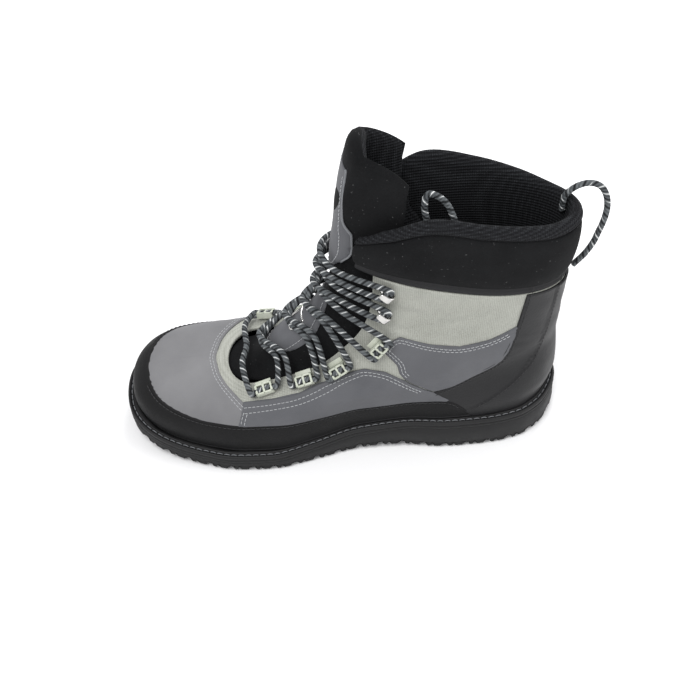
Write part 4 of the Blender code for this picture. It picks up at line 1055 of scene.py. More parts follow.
def panel_counter(outline, turns):
    """The counter wraps the heel, so its angles pass through 0."""
    levels = np.linspace(0, COLLAR_BASE, 120)
    level = np.repeat(levels, len(turns))
    turn = np.tile(turns, len(levels))
    side = np.where(turn > 0, -1, 1)
    share = (1 + np.cos(turn)) / 2
    points = last_points(level, share, side)
    normals = last_normals(level, np.clip(share, 0.0008, 0.9992), side)
    points = points + normals * relief(points, side)[:, None]
    faces = triangles(grid_faces(len(levels), len(turns)))
    flat = flat_side(points)
    corners = world_line(outline)
    far, _ = to_line(flat, np.concatenate([corners, corners[:1]]))
    value = np.where(inside_polygon(flat, corners), far, -far)
    gap, direction = to_line(flat, rounded(world_line(COUNTER_FRONT), 5))
    near = surface_distance(gap, direction, normals)
    rise = 0.0012 * np.sqrt(np.clip(1 - (1 - np.clip(near / 0.0016, 0, 1)) ** 2, 0, 1))
    gap, direction = to_line(flat, rounded(world_line(COUNTER_SEAM), 5))
    seam = surface_distance(gap, direction, normals)
    back_x = UPPER_HEEL + 0.004
    behind_seam = flat[:, 0] > np.interp(flat[:, 1], world_line(COUNTER_SEAM)[::-1, 1],
                                         world_line(COUNTER_SEAM)[::-1, 0])
    step = smooth(seam / 0.0012) * np.where(behind_seam & (flat[:, 0] < back_x + 0.02), 0.0007, 0)
    rise = rise + step - np.exp(-(seam / 0.0006) ** 2) * 0.0002
    data = np.concatenate([normals, rise[:, None]], axis=1)
    verts, faces, data = clip(points, value, faces, data)
    normals, rise = unit(data[:, :3]), data[:, 3]
    solid_verts, solid_faces = closed_shell(verts + normals * (0.00012 + rise)[:, None],
                                            verts + normals * 0.00002, faces)
    obj = new_mesh("heel_counter_skin", solid_verts, solid_faces, M["leather"])
    place(obj, ["heel_counter"])


# Stitches


def stitches(line, normals, pitch, length, radius, lift):
    """Threads along a surface line: each a short arch that dips at both ends."""
    steps = np.linalg.norm(np.diff(line, axis=0), axis=1)
    at = np.concatenate([[0], np.cumsum(steps)])
    count = int(at[-1] / pitch)
    parts = []
    for k in range(count):
        where = (k + 0.5) * pitch + np.linspace(-length / 2, length / 2, 6)
        points = np.stack([np.interp(where, at, line[:, c]) for c in range(3)], -1)
        up = unit(np.stack([np.interp(where, at, normals[:, c]) for c in range(3)], -1))
        arch = np.array([-0.7, 0.55, 1.0, 1.0, 0.55, -0.7]) * radius
        parts.append(tube_data(points + up * (lift + arch)[:, None], radius, 6))
    return parts


def seam_line(route, side, inward, spacing=0.0012):
    """A line on the surface beside an edge of the side view, and its normals."""
    flat = even(rounded(world_line(route), 6), spacing)
    along = unit(np.gradient(flat, axis=0))
    flat = flat + np.stack([along[:, 1], -along[:, 0]], -1) * inward
    u = (UPPER_HEEL - flat[:, 0]) / UPPER_LENGTH
    h = (flat[:, 1] - feather(flat[:, 0])) / UPPER_HEIGHT
    level, share = find_on_last(u, h, side)
    share = np.clip(share, 0.0008, 0.9992)
    sides = np.full(len(share), side)
    points = last_points(level, share, sides)
    normals = last_normals(level, share, sides)
    return points + normals * relief(points, sides)[:, None], normals


def plan_line_on_last(flat):
    """Surface points above a line of the plan view, by level and share at the front."""
    x, y = flat[:, 0], flat[:, 1] - centre(flat[:, 0])
    side = np.where(y < 0, -1, 1)
    low, high = np.full(len(x), 2.0), np.full(len(x), 9.0)
    for _ in range(22):
        level = (low + high) / 2
        share = np.maximum(share_at_width(level, np.abs(y), side), 0.0008)
        behind = last_points(level, share, side)[:, 0] < x
        low, high = np.where(behind, level, low), np.where(behind, high, level)
    return last_points(level, share, side), last_normals(level, share, side)


def make_stitches():
    pale, dark = [], []
    for side in (-1, 1):
        for gap in (0.0022, 0.0044):
            line, normals = seam_line(QUARTER_TOP, side, gap)
            pale += stitches(line, normals, 0.0030, 0.0022, 0.00026, 0.00145)
            line, normals = seam_line(ANKLE_FRONT[2:] + ANKLE_TOP[:-1] + [(0.118, 0.523)], side, gap)
            pale += stitches(line, normals, 0.0030, 0.0022, 0.00026, 0.00105)
        for gap in (0.0022, 0.0044):
            line, normals = seam_line([(0.735, 0.178), (0.7305, 0.205), (0.722, 0.238)], side, gap)
            pale += stitches(line, normals, 0.0030, 0.0022, 0.00026, 0.00145)
        line, normals = seam_line(COUNTER_FRONT[:-1], side, -0.0024)
        dark += stitches(line, normals, 0.0032, 0.0024, 0.00028, 0.00125)
        line, normals = seam_line(COUNTER_SEAM[:-1], side, -0.0016)
        dark += stitches(line, normals, 0.0032, 0.0024, 0.00028, 0.0018)
        line, normals = seam_line(RAND_TOP[1:-1], side, 0.0024)
        dark += stitches(line, normals, 0.0034, 0.0026, 0.00028, 0.0016)
    arc_line, _ = plan_arc()
    for gap in (0.0022, 0.0042):
        flat = even(arc_line, 0.002)
        along = unit(np.gradient(flat, axis=0))
        outward = np.stack([-along[:, 1], along[:, 0]], -1)
        if outward[len(flat) // 2, 0] > 0:
            outward = -outward
        line, normals = plan_line_on_last(flat[3:-3] + outward[3:-3] * gap)
        pale += stitches(line, normals, 0.0030, 0.0022, 0.00026, 0.0010)
    for name, paint, parts, slot_name in (("pale_stitches", "pale_thread", pale, "canvas"),
                                          ("dark_stitches", "dark_thread", dark, "rand_rubber")):
        obj = new_mesh(name, *merge(parts), M[paint])
        place(obj)


# Cuff and tongue


def closed_curve(points, steps):
    """A smooth closed curve through flat points."""
    pts = np.asarray(points, float)
    out = []
    count = len(pts)
    for k in range(count):
        near = [pts[(k + j) % count] for j in (-1, 0, 1, 2)]
        out += [spline(*near, s / steps) for s in range(steps)]
    return np.array(out)


def turned_out(obj):
    """The same piece with its faces outwards."""
    fix = bmesh.new()
    fix.from_mesh(obj.data)
    bmesh.ops.recalc_face_normals(fix, faces=fix.faces)
    fix.to_mesh(obj.data)
    fix.free()
    return obj


def make_cuff_piece():
    """Padded cuff: smooth base band, full outer side, seam under the rim and mesh inside."""
    section = closed_curve([
        (11.00, -0.55), (11.00, -0.06), (11.12, 0.03), (11.23, -0.05), (11.50, 0.17), (12.05, 0.22),
        (12.50, 0.12), (12.66, -0.02), (12.71, -0.13), (12.80, 0.02), (12.95, -0.12), (13.04, -0.45),
        (12.98, -0.74), (12.84, -0.92), (12.55, -1.00), (12.10, -1.04), (11.60, -1.00), (11.25, -0.94),
        (11.02, -0.84)], 5)
    columns = []
    for side in (-1, 1):
        first = share_at_width(np.clip(section[:, 0], 11, 13), CUFF_START, side)
        turn = np.arccos(1 - 2 * first)
        steps = 90
        for k in (range(steps + 1) if side < 0 else range(steps - 1, -1, -1)):
            ease = (k / steps) ** 1.15
            share = (1 - np.cos(turn + (math.pi - turn) * ease)) / 2
            columns.append((side, np.clip(share, 0.0006, 0.9994), k / steps))
    rings = []
    for side, share, far in columns:
        level = np.clip(section[:, 0], 11, 13)
        point = last_points(level, share, side)
        normal = last_normals(np.clip(level, 11, 12.97), share, np.full(len(share), side))
        flat = unit(normal * np.array([1, 1, 0]))
        turned = min(far * 16 / 3, 1)
        flat = unit(flat * turned + np.array([-1, 0, 0]) * (1 - turned))
        ahead = CUFF_AHEAD * (1 - turned * 0.75) * (1 - smooth((far * 16 - 2.2) / 1.2))
        full = 0.30 + 0.70 * math.sqrt(1 - (1 - min(far / 0.035, 1)) ** 2)
        swell = 1 + 0.05 * math.sin(far * 21 + side) + 0.04 * math.sin(far * 37)
        out = -0.45 + (section[:, 1] + 0.45) * full
        out = np.where(section[:, 1] > 0.05, out * swell, out)
        over = np.clip(section[:, 0] - 13, 0, 1)[:, None] * np.array([0, 0, 0.026])
        move = np.array([-ahead, 0, SEAT + 0.26 * ahead])
        rings.append(point + flat * (CUFF_PAD * out)[:, None] + over + move)
    rings = np.array(rings)
    count = rings.shape[1]
    verts = rings.reshape(-1, 3)
    quads = grid_faces(len(rings), count, True)
    ends = [rings[0].mean(axis=0), rings[-1].mean(axis=0)]
    faces = np.concatenate([triangles(quads), end_fans(len(rings), count)])
    verts = np.concatenate([verts, ends])
    obj = turned_out(new_mesh("collar_cuff_pad", verts, faces, M["cuff"]))
    obj.data.materials.append(M["lining"])
    obj.data.materials.append(M["piping"])
    index = np.zeros(len(faces), np.int32)
    of_section = np.tile(np.arange(count), len(rings) - 1)
    inner = (of_section > 8 * 5) & (of_section < 18 * 5)
    band = (of_section >= 1 * 5) & (of_section < 3 * 5)
    both = np.where(inner, 1, np.where(band, 2, 0))
    index[:len(quads)] = both
    index[len(quads):2 * len(quads)] = both
    obj.data.polygons.foreach_set("material_index", index)
    place(obj, ["collar_cuff"])


def tongue_reach(level):
    return monotone([5.4, 6.2, 7.5, 9.5, 10.8, 12.0, 13.0, 14.7],
                    [0.54, 0.66, 0.72, 0.76, 0.66, 0.62, 0.60, 0.60], level) * ANKLE_WIDTH / 2


def tongue_points(level, across, depth=0.0):
    """Points of the tongue's front, as in the part: across runs from -1, lateral, to 1."""
    level, across, depth = np.broadcast_arrays(np.asarray(level, float), across, depth)
    side = np.where(across < 0, -1, 1)
    offset = tongue_reach(level) * np.abs(across)
    nose = last_normals(level, np.full(level.shape, 0.002), side)
    nose = unit(nose * np.array([1, 0, 1]))
    backing = monotone([5.4, 10.5, 11.0, 14.7], [1, 1, 0, 0], level)
    tuck = (WALL + 3 * SEAT) * backing + (CUFF_PAD + 3 * SEAT) * (1 - backing)
    rising = smooth((level - 6.0) / 1.5)
    knots = [5.4, 10.2, 10.9, 13.0, 13.6, 15.0]
    until = monotone(knots, [0.0240, 0.0240, 0.0203, 0.0203, 0.0235, 0.0235], level)
    flank = monotone(knots, [0.0160, 0.0160, 0.0080, 0.0080, 0.0090, 0.0090], level)
    swell = rising * smooth((until - offset) / flank)
    low, high = np.zeros(level.shape), np.full(level.shape, 0.45)
    for _ in range(24):
        share = (low + high) / 2
        inner = last_points(level, share, side) - last_normals(
            level, np.maximum(share, 0.002), side) * tuck[..., None]
        under = np.abs(inner[..., 1] - centre(inner[..., 0])) < offset
        low, high = np.where(under, share, low), np.where(under, high, share)
    outer = last_points(level, share_at_width(level, offset, side), side) + nose * TONGUE_BULGE * 0.72
    place_at = inner + (outer - inner) * swell[..., None]
    place_at[..., 1] = centre(place_at[..., 0]) + side * offset
    hub = last_points(level, np.full(level.shape, 0.0005), side) - nose * 0.055
    hub[..., 1] = centre(hub[..., 0])
    return place_at + unit(hub - place_at) * depth[..., None]


def tongue_fill(level):
    return monotone([5.4, 8.0, 12.0, 14.7], [0.55, 0.8, 1.2, 1.5], level) * TONGUE_THICK


def make_tongue_piece():
    rows, columns = 120, 61
    level = np.linspace(5.45, 14.80, rows)
    across = np.sin(np.linspace(-1, 1, columns) * math.pi / 2 * 0.86) / math.sin(math.pi / 2 * 0.86)
    lv, ac = np.meshgrid(level, across, indexing="ij")
    thick = tongue_fill(lv) * (1 - 0.4 * np.abs(ac) ** 3)
    nominal = lv
    corners = np.clip((np.abs(ac) - 0.72) / 0.28, 0, 1) ** 2
    lv = lv - (0.40 * ac * ac + 0.45 * corners) * smooth((lv - 12.8) / 1.6)
    edge = np.sqrt(np.clip(1 - np.clip((np.abs(ac) - 0.86) / 0.14, 0, 1) ** 2, 0, 1))
    end = np.sqrt(np.clip(1 - np.clip((5.75 - nominal) / 0.32, 0, 1) ** 2, 0, 1))
    top = np.sqrt(np.clip(1 - np.clip((nominal - 14.48) / 0.32, 0, 1) ** 2, 0, 1))
    body = np.maximum(edge * end * top, 0.03)
    slack = thick * (1 - body) / 2
    # quilted channels on the front, full between them
    rows_of_quilting = [6.9, 7.7, 8.5, 9.3, 10.1, 10.9]
    channel = sum(np.exp(-((lv - q) / 0.06) ** 2) for q in rows_of_quilting) * 0.0012
    puff = 0.0012 * smooth((lv - 12.6) / 0.8) * np.cos(ac * 1.4)
    wrinkle = 0.0005 * np.sin(lv * 5.2 + ac * 2.0) * smooth((lv - 11.5) / 1.0)
    front = tongue_points(lv, ac, slack + channel - puff - wrinkle)
    back = tongue_points(lv, ac, slack + thick * body + 0.0004 * np.sin(lv * 6 + ac * 3))
    ring = np.concatenate([front, back[:, ::-1]], axis=1)
    count = ring.shape[1]
    verts = ring.reshape(-1, 3)
    quads = grid_faces(rows, count, True)
    caps = []
    for base, flip in ((0, False), ((rows - 1) * count, True)):
        for j in range(columns - 1):
            quad = (base + j, base + j + 1, base + count - j - 2, base + count - j - 1)
            caps.append(quad[::-1] if flip else quad)
    faces = triangles(np.concatenate([quads, np.array(caps)]))
    obj = turned_out(new_mesh("tongue_pad", verts, faces, M["cuff"]))
    obj.data.materials.append(M["lining"])
    of_ring = np.tile(np.arange(count), rows - 1)
    index = np.zeros(len(faces), np.int32)
    back_side = (of_ring >= columns).astype(np.int32)
    index[:len(quads)] = back_side
    index[len(quads) + len(caps):2 * len(quads) + len(caps)] = back_side
    obj.data.polygons.foreach_set("material_index", index)
    place(obj, ["tongue"])


def tongue_sheet(name, node_name, rows, height, paint):
    """A sheet on the tongue's front inside a front view outline, with rounded edges."""
    low, high = PATCH_SPAN if node_name == "tongue_patch" else COVER_SPAN
    up_count, across_count = 110, 72
    lv, ac = np.meshgrid(np.linspace(low, high, up_count), np.linspace(-0.98, 0.98, across_count),
                         indexing="ij")
    points = tongue_points(lv, ac).reshape(-1, 3)
    grid = points.reshape(up_count, across_count, 3)
    normals = unit(np.cross(np.gradient(grid, axis=1), np.gradient(grid, axis=0))).reshape(-1, 3)
    normals = np.where(normals[:, :1] > 0, -normals, normals)
    right = np.array([(wide * COVER_WIDTH / 2, UPPER_SEAT + up * UPPER_HEIGHT) for up, wide in rows])
    right = rounded(right, 4)
    corners = np.concatenate([right, right[::-1] * np.array([-1, 1])])
    flat = points[:, 1:]
    far, away = to_line(flat, np.concatenate([corners, corners[:1]]))
    value = np.where(inside_polygon(flat, corners), far, -far)
    slope = away[:, 0] * normals[:, 1] + away[:, 1] * normals[:, 2]
    near = value / np.sqrt(np.clip(1 - slope ** 2, 0.12, 1))
    rise = height * np.sqrt(np.clip(1 - (1 - np.clip(near / 0.0012, 0, 1)) ** 2, 0, 1))
    faces = triangles(grid_faces(up_count, across_count))
    data = np.concatenate([normals, rise[:, None]], axis=1)
    verts, faces, data = clip(points, value, faces, data)
    normals, rise = unit(data[:, :3]), data[:, 3]
    lift = 0.0004
    solid_verts, solid_faces = closed_shell(verts + normals * (lift + rise)[:, None],
                                            verts - normals * 0.0006, faces)
    obj = new_mesh(name, solid_verts, solid_faces, M[paint])
    place(obj, [node_name])
    return corners, points, normals


def on_tongue(flat_line, low, high):
    """Points and normals of the tongue's front at a line of the front view."""
    flat_line = np.asarray(flat_line, float)
    y, z = flat_line[:, 0], flat_line[:, 1]
    lo, hi = np.full(len(y), low), np.full(len(y), high)
    for _ in range(26):
        level = (lo + hi) / 2
        point = tongue_points(level, np.clip(y / tongue_reach(level), -0.98, 0.98))
        under = point[:, 2] < z
        lo, hi = np.where(under, level, lo), np.where(under, hi, level)
    across = np.clip((y - centre(point[:, 0])) / tongue_reach(level), -0.98, 0.98)
    point = tongue_points(level, across)
    side_step = tongue_points(level, np.clip(across + 0.03, -1, 1)) - tongue_points(level, across - 0.03)
    up_step = tongue_points(level + 0.05, across) - tongue_points(level - 0.05, across)
    normal = unit(np.cross(side_step, up_step))
    normal = np.where(normal[:, :1] > 0, -normal, normal)
    return point, normal


def make_tongue_trim():
    tongue_sheet("tongue_cover_sheet", "tongue_cover", COVER_ROWS, 0.0010, "nubuck")
    tongue_sheet("tongue_patch_sheet", "tongue_patch", PATCH_ROWS, 0.0009, "nubuck")
    pale = []
    for rows, span, gap in ((COVER_ROWS[1:-2], COVER_SPAN, 0.0022), (PATCH_ROWS, PATCH_SPAN, 0.0020)):
        right = np.array([(wide * COVER_WIDTH / 2 - gap, UPPER_SEAT + up * UPPER_HEIGHT)
                          for up, wide in rows])
        line = np.concatenate([right[::-1], right * np.array([-1, 1])])
        line = even(rounded(line, 5), 0.0015)
        points, normals = on_tongue(line, *span)
        pale += stitches(points, normals, 0.0030, 0.0022, 0.00026, 0.0014)
    place(new_mesh("tongue_stitches", *merge(pale), M["pale_thread"]))
    # metal frame of the lace slot on the lower patch
    rounded_box = [(-0.8, -1), (0.8, -1), (1, -0.8), (1, 0.8), (0.8, 1), (-0.8, 1), (-1, 0.8), (-1, -0.8),
                   (-0.8, -1)]
    frame_line = rounded([(y * 0.0062, 0.0935 + z * 0.0043) for y, z in rounded_box], 4)
    points, normals = on_tongue(frame_line, *PATCH_SPAN)
    place(new_mesh("tongue_slot_frame", *tube_data(points + normals * 0.0016, 0.0008, 10, False),
                   M["metal"]))
    # binding along the cover's sides
    parts = []
    for sign in (-1, 1):
        line = np.array([(sign * COVER_WIDTH / 2 * wide, UPPER_SEAT + up * UPPER_HEIGHT)
                         for up, wide in COVER_ROWS[4:10]])
        line = even(rounded(line, 5), 0.0015)
        points, normals = on_tongue(line, 10.5, 14.3)
        parts.append(tube_data(points + normals * 0.0009, 0.00085, 8))
    place(new_mesh("tongue_binding", *merge(parts), M["grey_thread"]))


# Sole


def sole_outline(count):
    angle = np.arange(count) * 2 * math.pi / count
    side = np.where(angle < math.pi, -1, 1)
    t = (1 - np.cos(angle)) / 2
    x = HEEL_X - t * SOLE_LENGTH
    return np.stack([x, centre(x) + side * half_width(t, side)], -1)


def sole_rings(steps, count):
    outline = sole_outline(count)
    along = unit(np.roll(outline, -1, axis=0) - np.roll(outline, 1, axis=0))
    outward = np.stack([along[:, 1], -along[:, 0]], -1)
    if ((outline - outline.mean(axis=0)) * outward).sum() < 0:
        outward = -outward
    rings = []
    for inward, shrink, height in steps:
        flat = outline - outward * inward
        middle = centre(flat[:, 0])
        flat[:, 1] = middle + (flat[:, 1] - middle) * shrink
        rings.append(np.concatenate([flat, height(flat)[:, None]], axis=1))
    return np.array(rings)


def stack(rings):
    """A closed solid through rings, capped across from side to side."""
    rows, count = rings.shape[:2]
    quads = grid_faces(rows, count, True)
    caps = []
    half = count // 2
    for base, flip in ((0, False), ((rows - 1) * count, True)):
        for j in range(0, half):
            quad = (base + j, base + j + 1, base + (count - j - 1) % count, base + (count - j) % count)
            caps.append(quad[::-1] if flip else quad)
    caps = np.array(caps)
    tri = triangles(np.concatenate([quads, caps]))
    good = (tri[:, 0] != tri[:, 1]) & (tri[:, 1] != tri[:, 2]) & (tri[:, 2] != tri[:, 0])
    return rings.reshape(-1, 3), tri[good]


def lug_cut(flat):
    """Depth of the grooves between lugs: bars across with a step in the middle."""
    x, y = flat[:, 0], flat[:, 1] - centre(flat[:, 0])
    phase = (x / LUG_PITCH + 0.5) % 1.0
    gap = np.minimum(phase, 1 - phase) * LUG_PITCH
    bars = smooth((0.0021 - gap) / 0.0008)
    t = sole_share(x)
    ridge = np.where(np.abs(y) < 0.0016, 0.5, 0.0) * np.where((t > 0.36) | (t < 0.20), 1, 0)
    return LUG_DEPTH * np.maximum(bars, ridge)


def rim_cut(flat):
    """Cleats along the rim: a fine jagged edge between the lugs."""
    x = flat[:, 0]
    phase = (x / (LUG_PITCH / 2) + 0.25) % 1.0
    gap = np.minimum(phase, 1 - phase) * LUG_PITCH / 2
    fine = smooth((0.0013 - gap) / 0.0006) * 0.0022
    return np.maximum(lug_cut(flat), fine)


def ring_height(base, up=0.0, cut=None, part=1.0):
    """Height of a ring's points: a base curve, raised, with a part of a cut."""
    return lambda f: base(f[:, 0]) + up + (cut(f) * part if cut else 0.0)


def make_sole():
    count = 900
    ground, edge = ring_height(tread, cut=lug_cut), ring_height(tread, cut=rim_cut)
    steps = [(0.010, 0.30, ground), (0.010, 0.60, ground), (0.010, 0.90, ground), (0.010, 1.0, ground),
             (0.006, 1.0, ground), (0.0045, 1.0, edge), (0.0022, 1.0, edge),
             (0.0009, 1.0, ring_height(tread, 0.0008, rim_cut, 0.9)),
             (0.0002, 1.0, ring_height(tread, 0.0022, rim_cut, 0.8))]
    steps += [(inward, 1.0, ring_height(tread, up))
              for inward, up in ((0.0010, 0.0050), (0.0003, 0.0056), (0.0000, 0.0064))]
    steps.append((0.0003, 1.0, lambda f: (tread(f[:, 0]) + 0.0064 + sole_top(f[:, 0]) - 0.0026) / 2))
    steps += [(inward, 1.0, ring_height(sole_top, up))
              for inward, up in ((0.0001, -0.0026), (0.0006, -0.0021), (0.0000, -0.0017),
                                 (0.0000, -0.0006), (0.0005, -0.0001), (0.0012, 0.0))]
    steps.append((0.012, 0.95, ring_height(sole_top)))
    obj = new_mesh("outsole_lugged", *stack(sole_rings(steps, count)), M["rubber"])
    place(obj, ["outsole"])
    section = [(0.0010, 0.0003), (0.0003, 0.0006), (0.0001, 0.0014), (0.0000, 0.0026), (0.0003, 0.0036),
               (0.0009, 0.0042), (0.0015, 0.0042), (0.0020, 0.0038), (0.0023, 0.0032), (0.0028, 0.0029),
               (0.0034, 0.0030), (0.0037, 0.0034), (0.0040, 0.0041), (0.0046, 0.0044), (0.0056, 0.0042),
               (0.0080, 0.0041)]
    rows = [(inward, 1.0, ring_height(sole_top, up)) for inward, up in section]
    obj = new_mesh("welt_band", *stack(sole_rings(rows, 620)), M["rubber"])
    place(obj, ["welt_midsole"])
    ring = sole_rings([(0.0030, 1.0, ring_height(sole_top, 0.0032))], count)[0]
    ring = np.concatenate([ring, ring[:1]])
    up = np.tile([0.0, 0.0, 1.0], (len(ring), 1))
    threads = stitches(ring, up, 0.0052, 0.0040, 0.00042, 0.0001)
    place(new_mesh("welt_stitches", *merge(threads), M["grey_thread"]))
    turn = np.linspace(0, 2 * math.pi, 721)[:-1]
    side = np.where(turn < math.pi, -1, 1)
    share = (1 + np.cos(turn)) / 2
    line = last_points(0.16, share, side) + last_normals(0.16, np.clip(share, 0.001, 0.999), side) * 0.0010
    bead, faces = tube_data(np.concatenate([line, line[:1]]), 0.0010, 10, False)
    place(new_mesh("welt_bead", bead, faces, M["leather"]))


# Lace fittings


def fitting_frame(u, h, side, lift):
    level, share = find_on_last(u, h, side)
    level, share = float(level), float(np.clip(share, 0.01, 0.99))
    at = last_points(level, share, side)
    normal = last_normals(level, share, np.array(side))
    ahead = last_points(min(level + 0.25, COLLAR_TOP), share, side) - at
    ahead = unit(ahead - normal * (ahead @ normal))
    across = np.cross(normal, ahead)
    matrix = np.eye(4)
    matrix[:3, 0], matrix[:3, 1], matrix[:3, 2] = ahead, across, normal
    matrix[:3, 3] = at + normal * lift
    return matrix


def through(matrix, points):
    return np.asarray(points, float) @ matrix[:3, :3].T + matrix[:3, 3]


def boxes_mesh(name, boxes, paint, width, segments=3):
    """Overlapping rounded boxes as one piece; each is a centre and a size."""
    shape = bmesh.new()
    for middle, size in boxes:
        part = bmesh.new()
        bmesh.ops.create_cube(part, size=1.0)
        bmesh.ops.transform(part, matrix=Matrix.Translation(middle) @ Matrix.Diagonal((*size, 1)),
                            verts=part.verts)
        bmesh.ops.bevel(part, geom=part.edges[:] + part.verts[:], offset=min(width, min(size) * 0.42),
                        segments=segments, affect="EDGES", profile=0.5)
        data = bpy.data.meshes.new("part")
        part.to_mesh(data)
        part.free()
        shape.from_mesh(data)
        bpy.data.meshes.remove(data)
    mesh = bpy.data.meshes.new(name)
    shape.to_mesh(mesh)
    shape.free()
    mesh.polygons.foreach_set("use_smooth", np.ones(len(mesh.polygons), bool))
    mesh.materials.append(paint)
    obj = bpy.data.objects.new(name, mesh)
    bpy.context.scene.collection.objects.link(obj)
    return obj


def make_keeper(word, number, u, h, side):
    """Moulded keeper: a plate, two rails and three bars that leave two windows."""
    matrix = fitting_frame(u, h, side, PANEL + 2 * SEAT)
    long, wide, high = KEEPER_LONG, KEEPER_WIDE, KEEPER_HIGH
    rail, bar, skin = 0.0014, 0.0017, 0.0012
    top = high - skin / 2
    boxes = [((0, 0, 0.0005), (long, wide, 0.0010)),
             ((0, wide / 2 - rail / 2, high / 2), (long, rail, high)),
             ((0, -wide / 2 + rail / 2, high / 2), (long, rail, high))]
    for x in (-long / 2 + bar / 2, 0, long / 2 - bar / 2):
        boxes.append(((x, 0, top), (bar, wide, skin)))
    boxes.append(((0, (wide / 2 + 0.0018), 0.0003), (long * 0.92, 0.0036, 0.0008)))
    obj = boxes_mesh(f"keeper_moulded_{word}_{number}", boxes, M["keeper"], 0.0005)
    obj.matrix_world = Matrix(matrix.tolist())
    place(obj, [f"keeper_{word}_{number}"])


def hook_matrix(u, h, side):
    matrix = Matrix(fitting_frame(u, h, side, SEAT + HOOK_LIFT).tolist())
    return matrix @ Matrix.Rotation(math.radians(HOOK_TURN * side), 4, "Z")


def make_hook(word, number, u, h, side):
    """Plated hook: a rounded strip that turns over, on a domed rivet."""
    thick, reach, bend = HOOK_PLATE, HOOK_REACH, 0.0031
    spine = [(reach * 0.80, thick / 2), (reach * 0.3, thick / 2), (0.0, thick / 2)]
    for k in range(13):
        angle = -math.pi / 2 - math.pi * k / 12
        spine.append((bend * math.cos(angle) - reach * 0.05, bend + thick / 2 + bend * math.sin(angle)))
    spine.append((reach * 0.42, 2 * bend + thick * 0.35))
    spine.append((reach * 0.62, 2 * bend + thick * 0.95))
    line = even(rounded([(x, 0, z) for x, z in spine], 3), 0.0005)
    along = unit(np.gradient(line, axis=0))
    up = np.stack([-along[:, 2], np.zeros(len(line)), along[:, 0]], -1)
    t = np.linspace(0, 1, len(line))
    wide = HOOK_WIDE / 2 * (0.72 + 0.28 * np.sin(np.clip(1 - t, 0, 1) * math.pi / 2) ** 0.5)
    wide = wide * np.sqrt(np.clip(1 - ((t - 0.5) / 0.5) ** 14, 0.05, 1))
    around = 20
    turn = np.arange(around) * 2 * math.pi / around
    c, s = np.cos(turn), np.sin(turn)
    flat_c = np.sign(c) * np.abs(c) ** 0.5
    flat_s = np.sign(s) * np.abs(s) ** 0.8
    ring = (line[:, None] + np.array([0, 1, 0])[None, None] * (wide[:, None] * flat_c[None])[..., None]
            + up[:, None] * (thick / 2 * flat_s)[None, :, None])
    verts = ring.reshape(-1, 3)
    verts = np.concatenate([verts, line[:1], line[-1:]])
    faces = np.concatenate([triangles(grid_faces(len(line), around, True)), end_fans(len(line), around)])
    profile = [(0.0, 0.0021), (0.0012, 0.0020), (0.0020, 0.0016), (0.0025, 0.0010), (0.0026, 0.0004),
               (0.0026, -0.0002)]
    turn = np.linspace(0, 2 * math.pi, 25)[:-1]
    dome = [np.stack([reach * 0.45 + radius * np.cos(turn), radius * np.sin(turn),
                      np.full(24, z + thick * 0.8)], -1) for radius, z in profile]
    dome_verts = np.concatenate(dome)
    dome_faces = triangles(grid_faces(len(profile), 24, True))
    verts, faces = merge([(verts, faces), (dome_verts, dome_faces[:, ::-1])])
    obj = new_mesh(f"hook_plated_{word}_{number}", verts, faces, M["metal"])
    obj.matrix_world = hook_matrix(u, h, side)
    place(obj, [f"hook_{word}_{number}"])


# Laces


def keeper_end(place_at, side, forward):
    u, h = place_at
    matrix = fitting_frame(u, h, side, KEEPER_HIGH / 2 + PANEL + 2 * SEAT)
    reach = KEEPER_LONG / 2
    rise = LACE_WIDE * 0.2 - 0.0004
    return [through(matrix, (forward * reach * k, 0, rise)) for k in (0.1, 0.75)] + [
        through(matrix, (forward * (reach + LACE_WIDE * 0.8), 0, rise))]


def over_tongue(level, across, rise):
    return tongue_points(level, across, -(LACE_WIDE / 2 + PANEL + 3 * SEAT) * rise)


def hook_turn(place_at, side):
    """The lace's way round a hook: under its bend, from one side to the other."""
    u, h = place_at
    matrix = np.array(hook_matrix(u, h, side))
    inside = HOOK_PLATE + LACE_WIDE / 2 + 0.0001
    return [through(matrix, (0.0022, y, inside)) for y in (-0.0052, 0.0, 0.0052)]


def joined(points):
    """One flat list of lace places from single places and lists of them."""
    out = []
    for item in points:
        out.extend(item if isinstance(item, list) else [item])
    return [np.asarray(p, float) for p in out]


def crossing(low, high, level, side):
    """A lace from a keeper on one side over the tongue to the next keeper on the other."""
    lean = 0.12
    return joined([keeper_end(low, side, 1), over_tongue(level - lean, 0.62 * side, 2.3),
                   over_tongue(level, 0.02 * side, 1.25 + 0.62 * (side > 0)),
                   over_tongue(level + lean, -0.62 * side, 2.3), keeper_end(high, -side, -1)[::-1]])


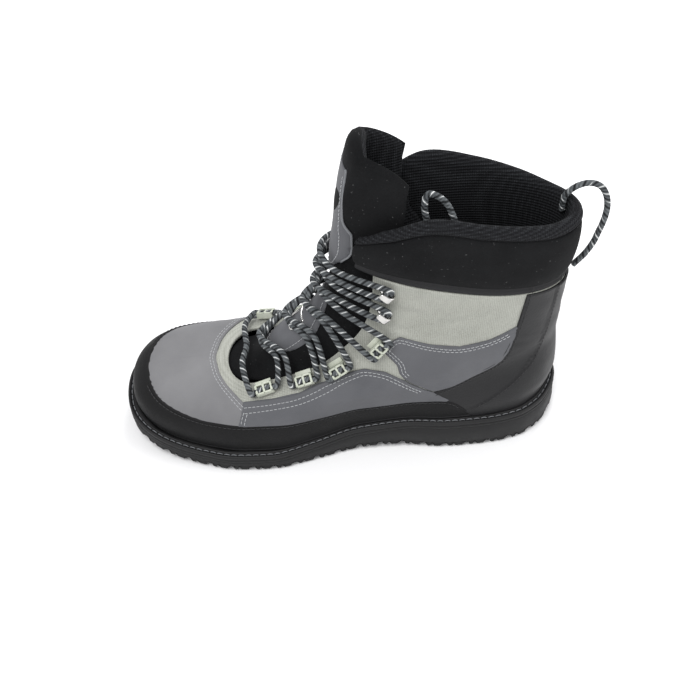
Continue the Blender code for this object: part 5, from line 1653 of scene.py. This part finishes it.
def make_laces():
    routes = []
    low, edge = KEEPERS[0], 5.75
    routes.append(joined([keeper_end(low, -1, -1), over_tongue(edge, -0.66, 2.3),
                          over_tongue(6.25, 0.0, 1.5), over_tongue(edge, 0.66, 2.3),
                          keeper_end(low, 1, -1)[::-1]]))
    levels = (6.75, 7.90, 8.70)
    for k, level in enumerate(levels):
        for side in (-1, 1):
            routes.append(crossing(KEEPERS[k], KEEPERS[k + 1], level, side))
    # from the top keepers over the tongue, round the opposite hooks and back
    for side in (-1, 1):
        bend = hook_turn(HOOKS[0], -side)
        far = hook_turn(HOOKS[1], side)
        if (bend[0] - bend[-1]) @ np.array([0, 0, 1.0]) > 0:
            bend = bend[::-1]
        if (far[0] - far[-1]) @ np.array([0, 0, 1.0]) > 0:
            far = far[::-1]
        routes.append(joined([
            keeper_end(KEEPERS[3], side, 1), over_tongue(9.55, 0.62 * side, 2.2),
            over_tongue(9.70, 0.0, 1.3 + 0.6 * (side > 0)), over_tongue(9.85, -0.66 * side, 2.0), bend,
            over_tongue(10.30, -0.62 * side, 2.0), over_tongue(10.42, 0.0, 1.3 + 0.6 * (side < 0)),
            over_tongue(10.54, 0.62 * side, 2.0), far]))
    routes.append(joined([hook_turn(HOOKS[1], -1)[::-1], over_tongue(10.80, -0.62, 2.0),
                          over_tongue(10.84, 0.0, 1.4), over_tongue(10.80, 0.62, 2.0),
                          hook_turn(HOOKS[1], 1)]))
    obj = braided_piece("laces_braided", routes, LACE_WIDE * 0.93)
    place(obj, ["lace_bar", "lace_cross_1", "lace_cross_2", "lace_cross_3", "lace_cross_4",
                             "lace_cross_5", "lace_tie"])


make_upper_piece()
make_panels()
make_stitches()
make_cuff_piece()
make_tongue_piece()
make_tongue_trim()
make_sole()
for side_of, word_of in ((-1, "lateral"), (1, "medial")):
    for number_of, place_of in enumerate(KEEPERS, 1):
        make_keeper(word_of, number_of, *place_of, side_of)
    for number_of, place_of in enumerate(HOOKS, 1):
        make_hook(word_of, number_of, *place_of, side_of)
make_laces()
insole = bpy.data.objects["insole"]
insole.data.materials.clear()
insole.data.materials.append(M["insole"])
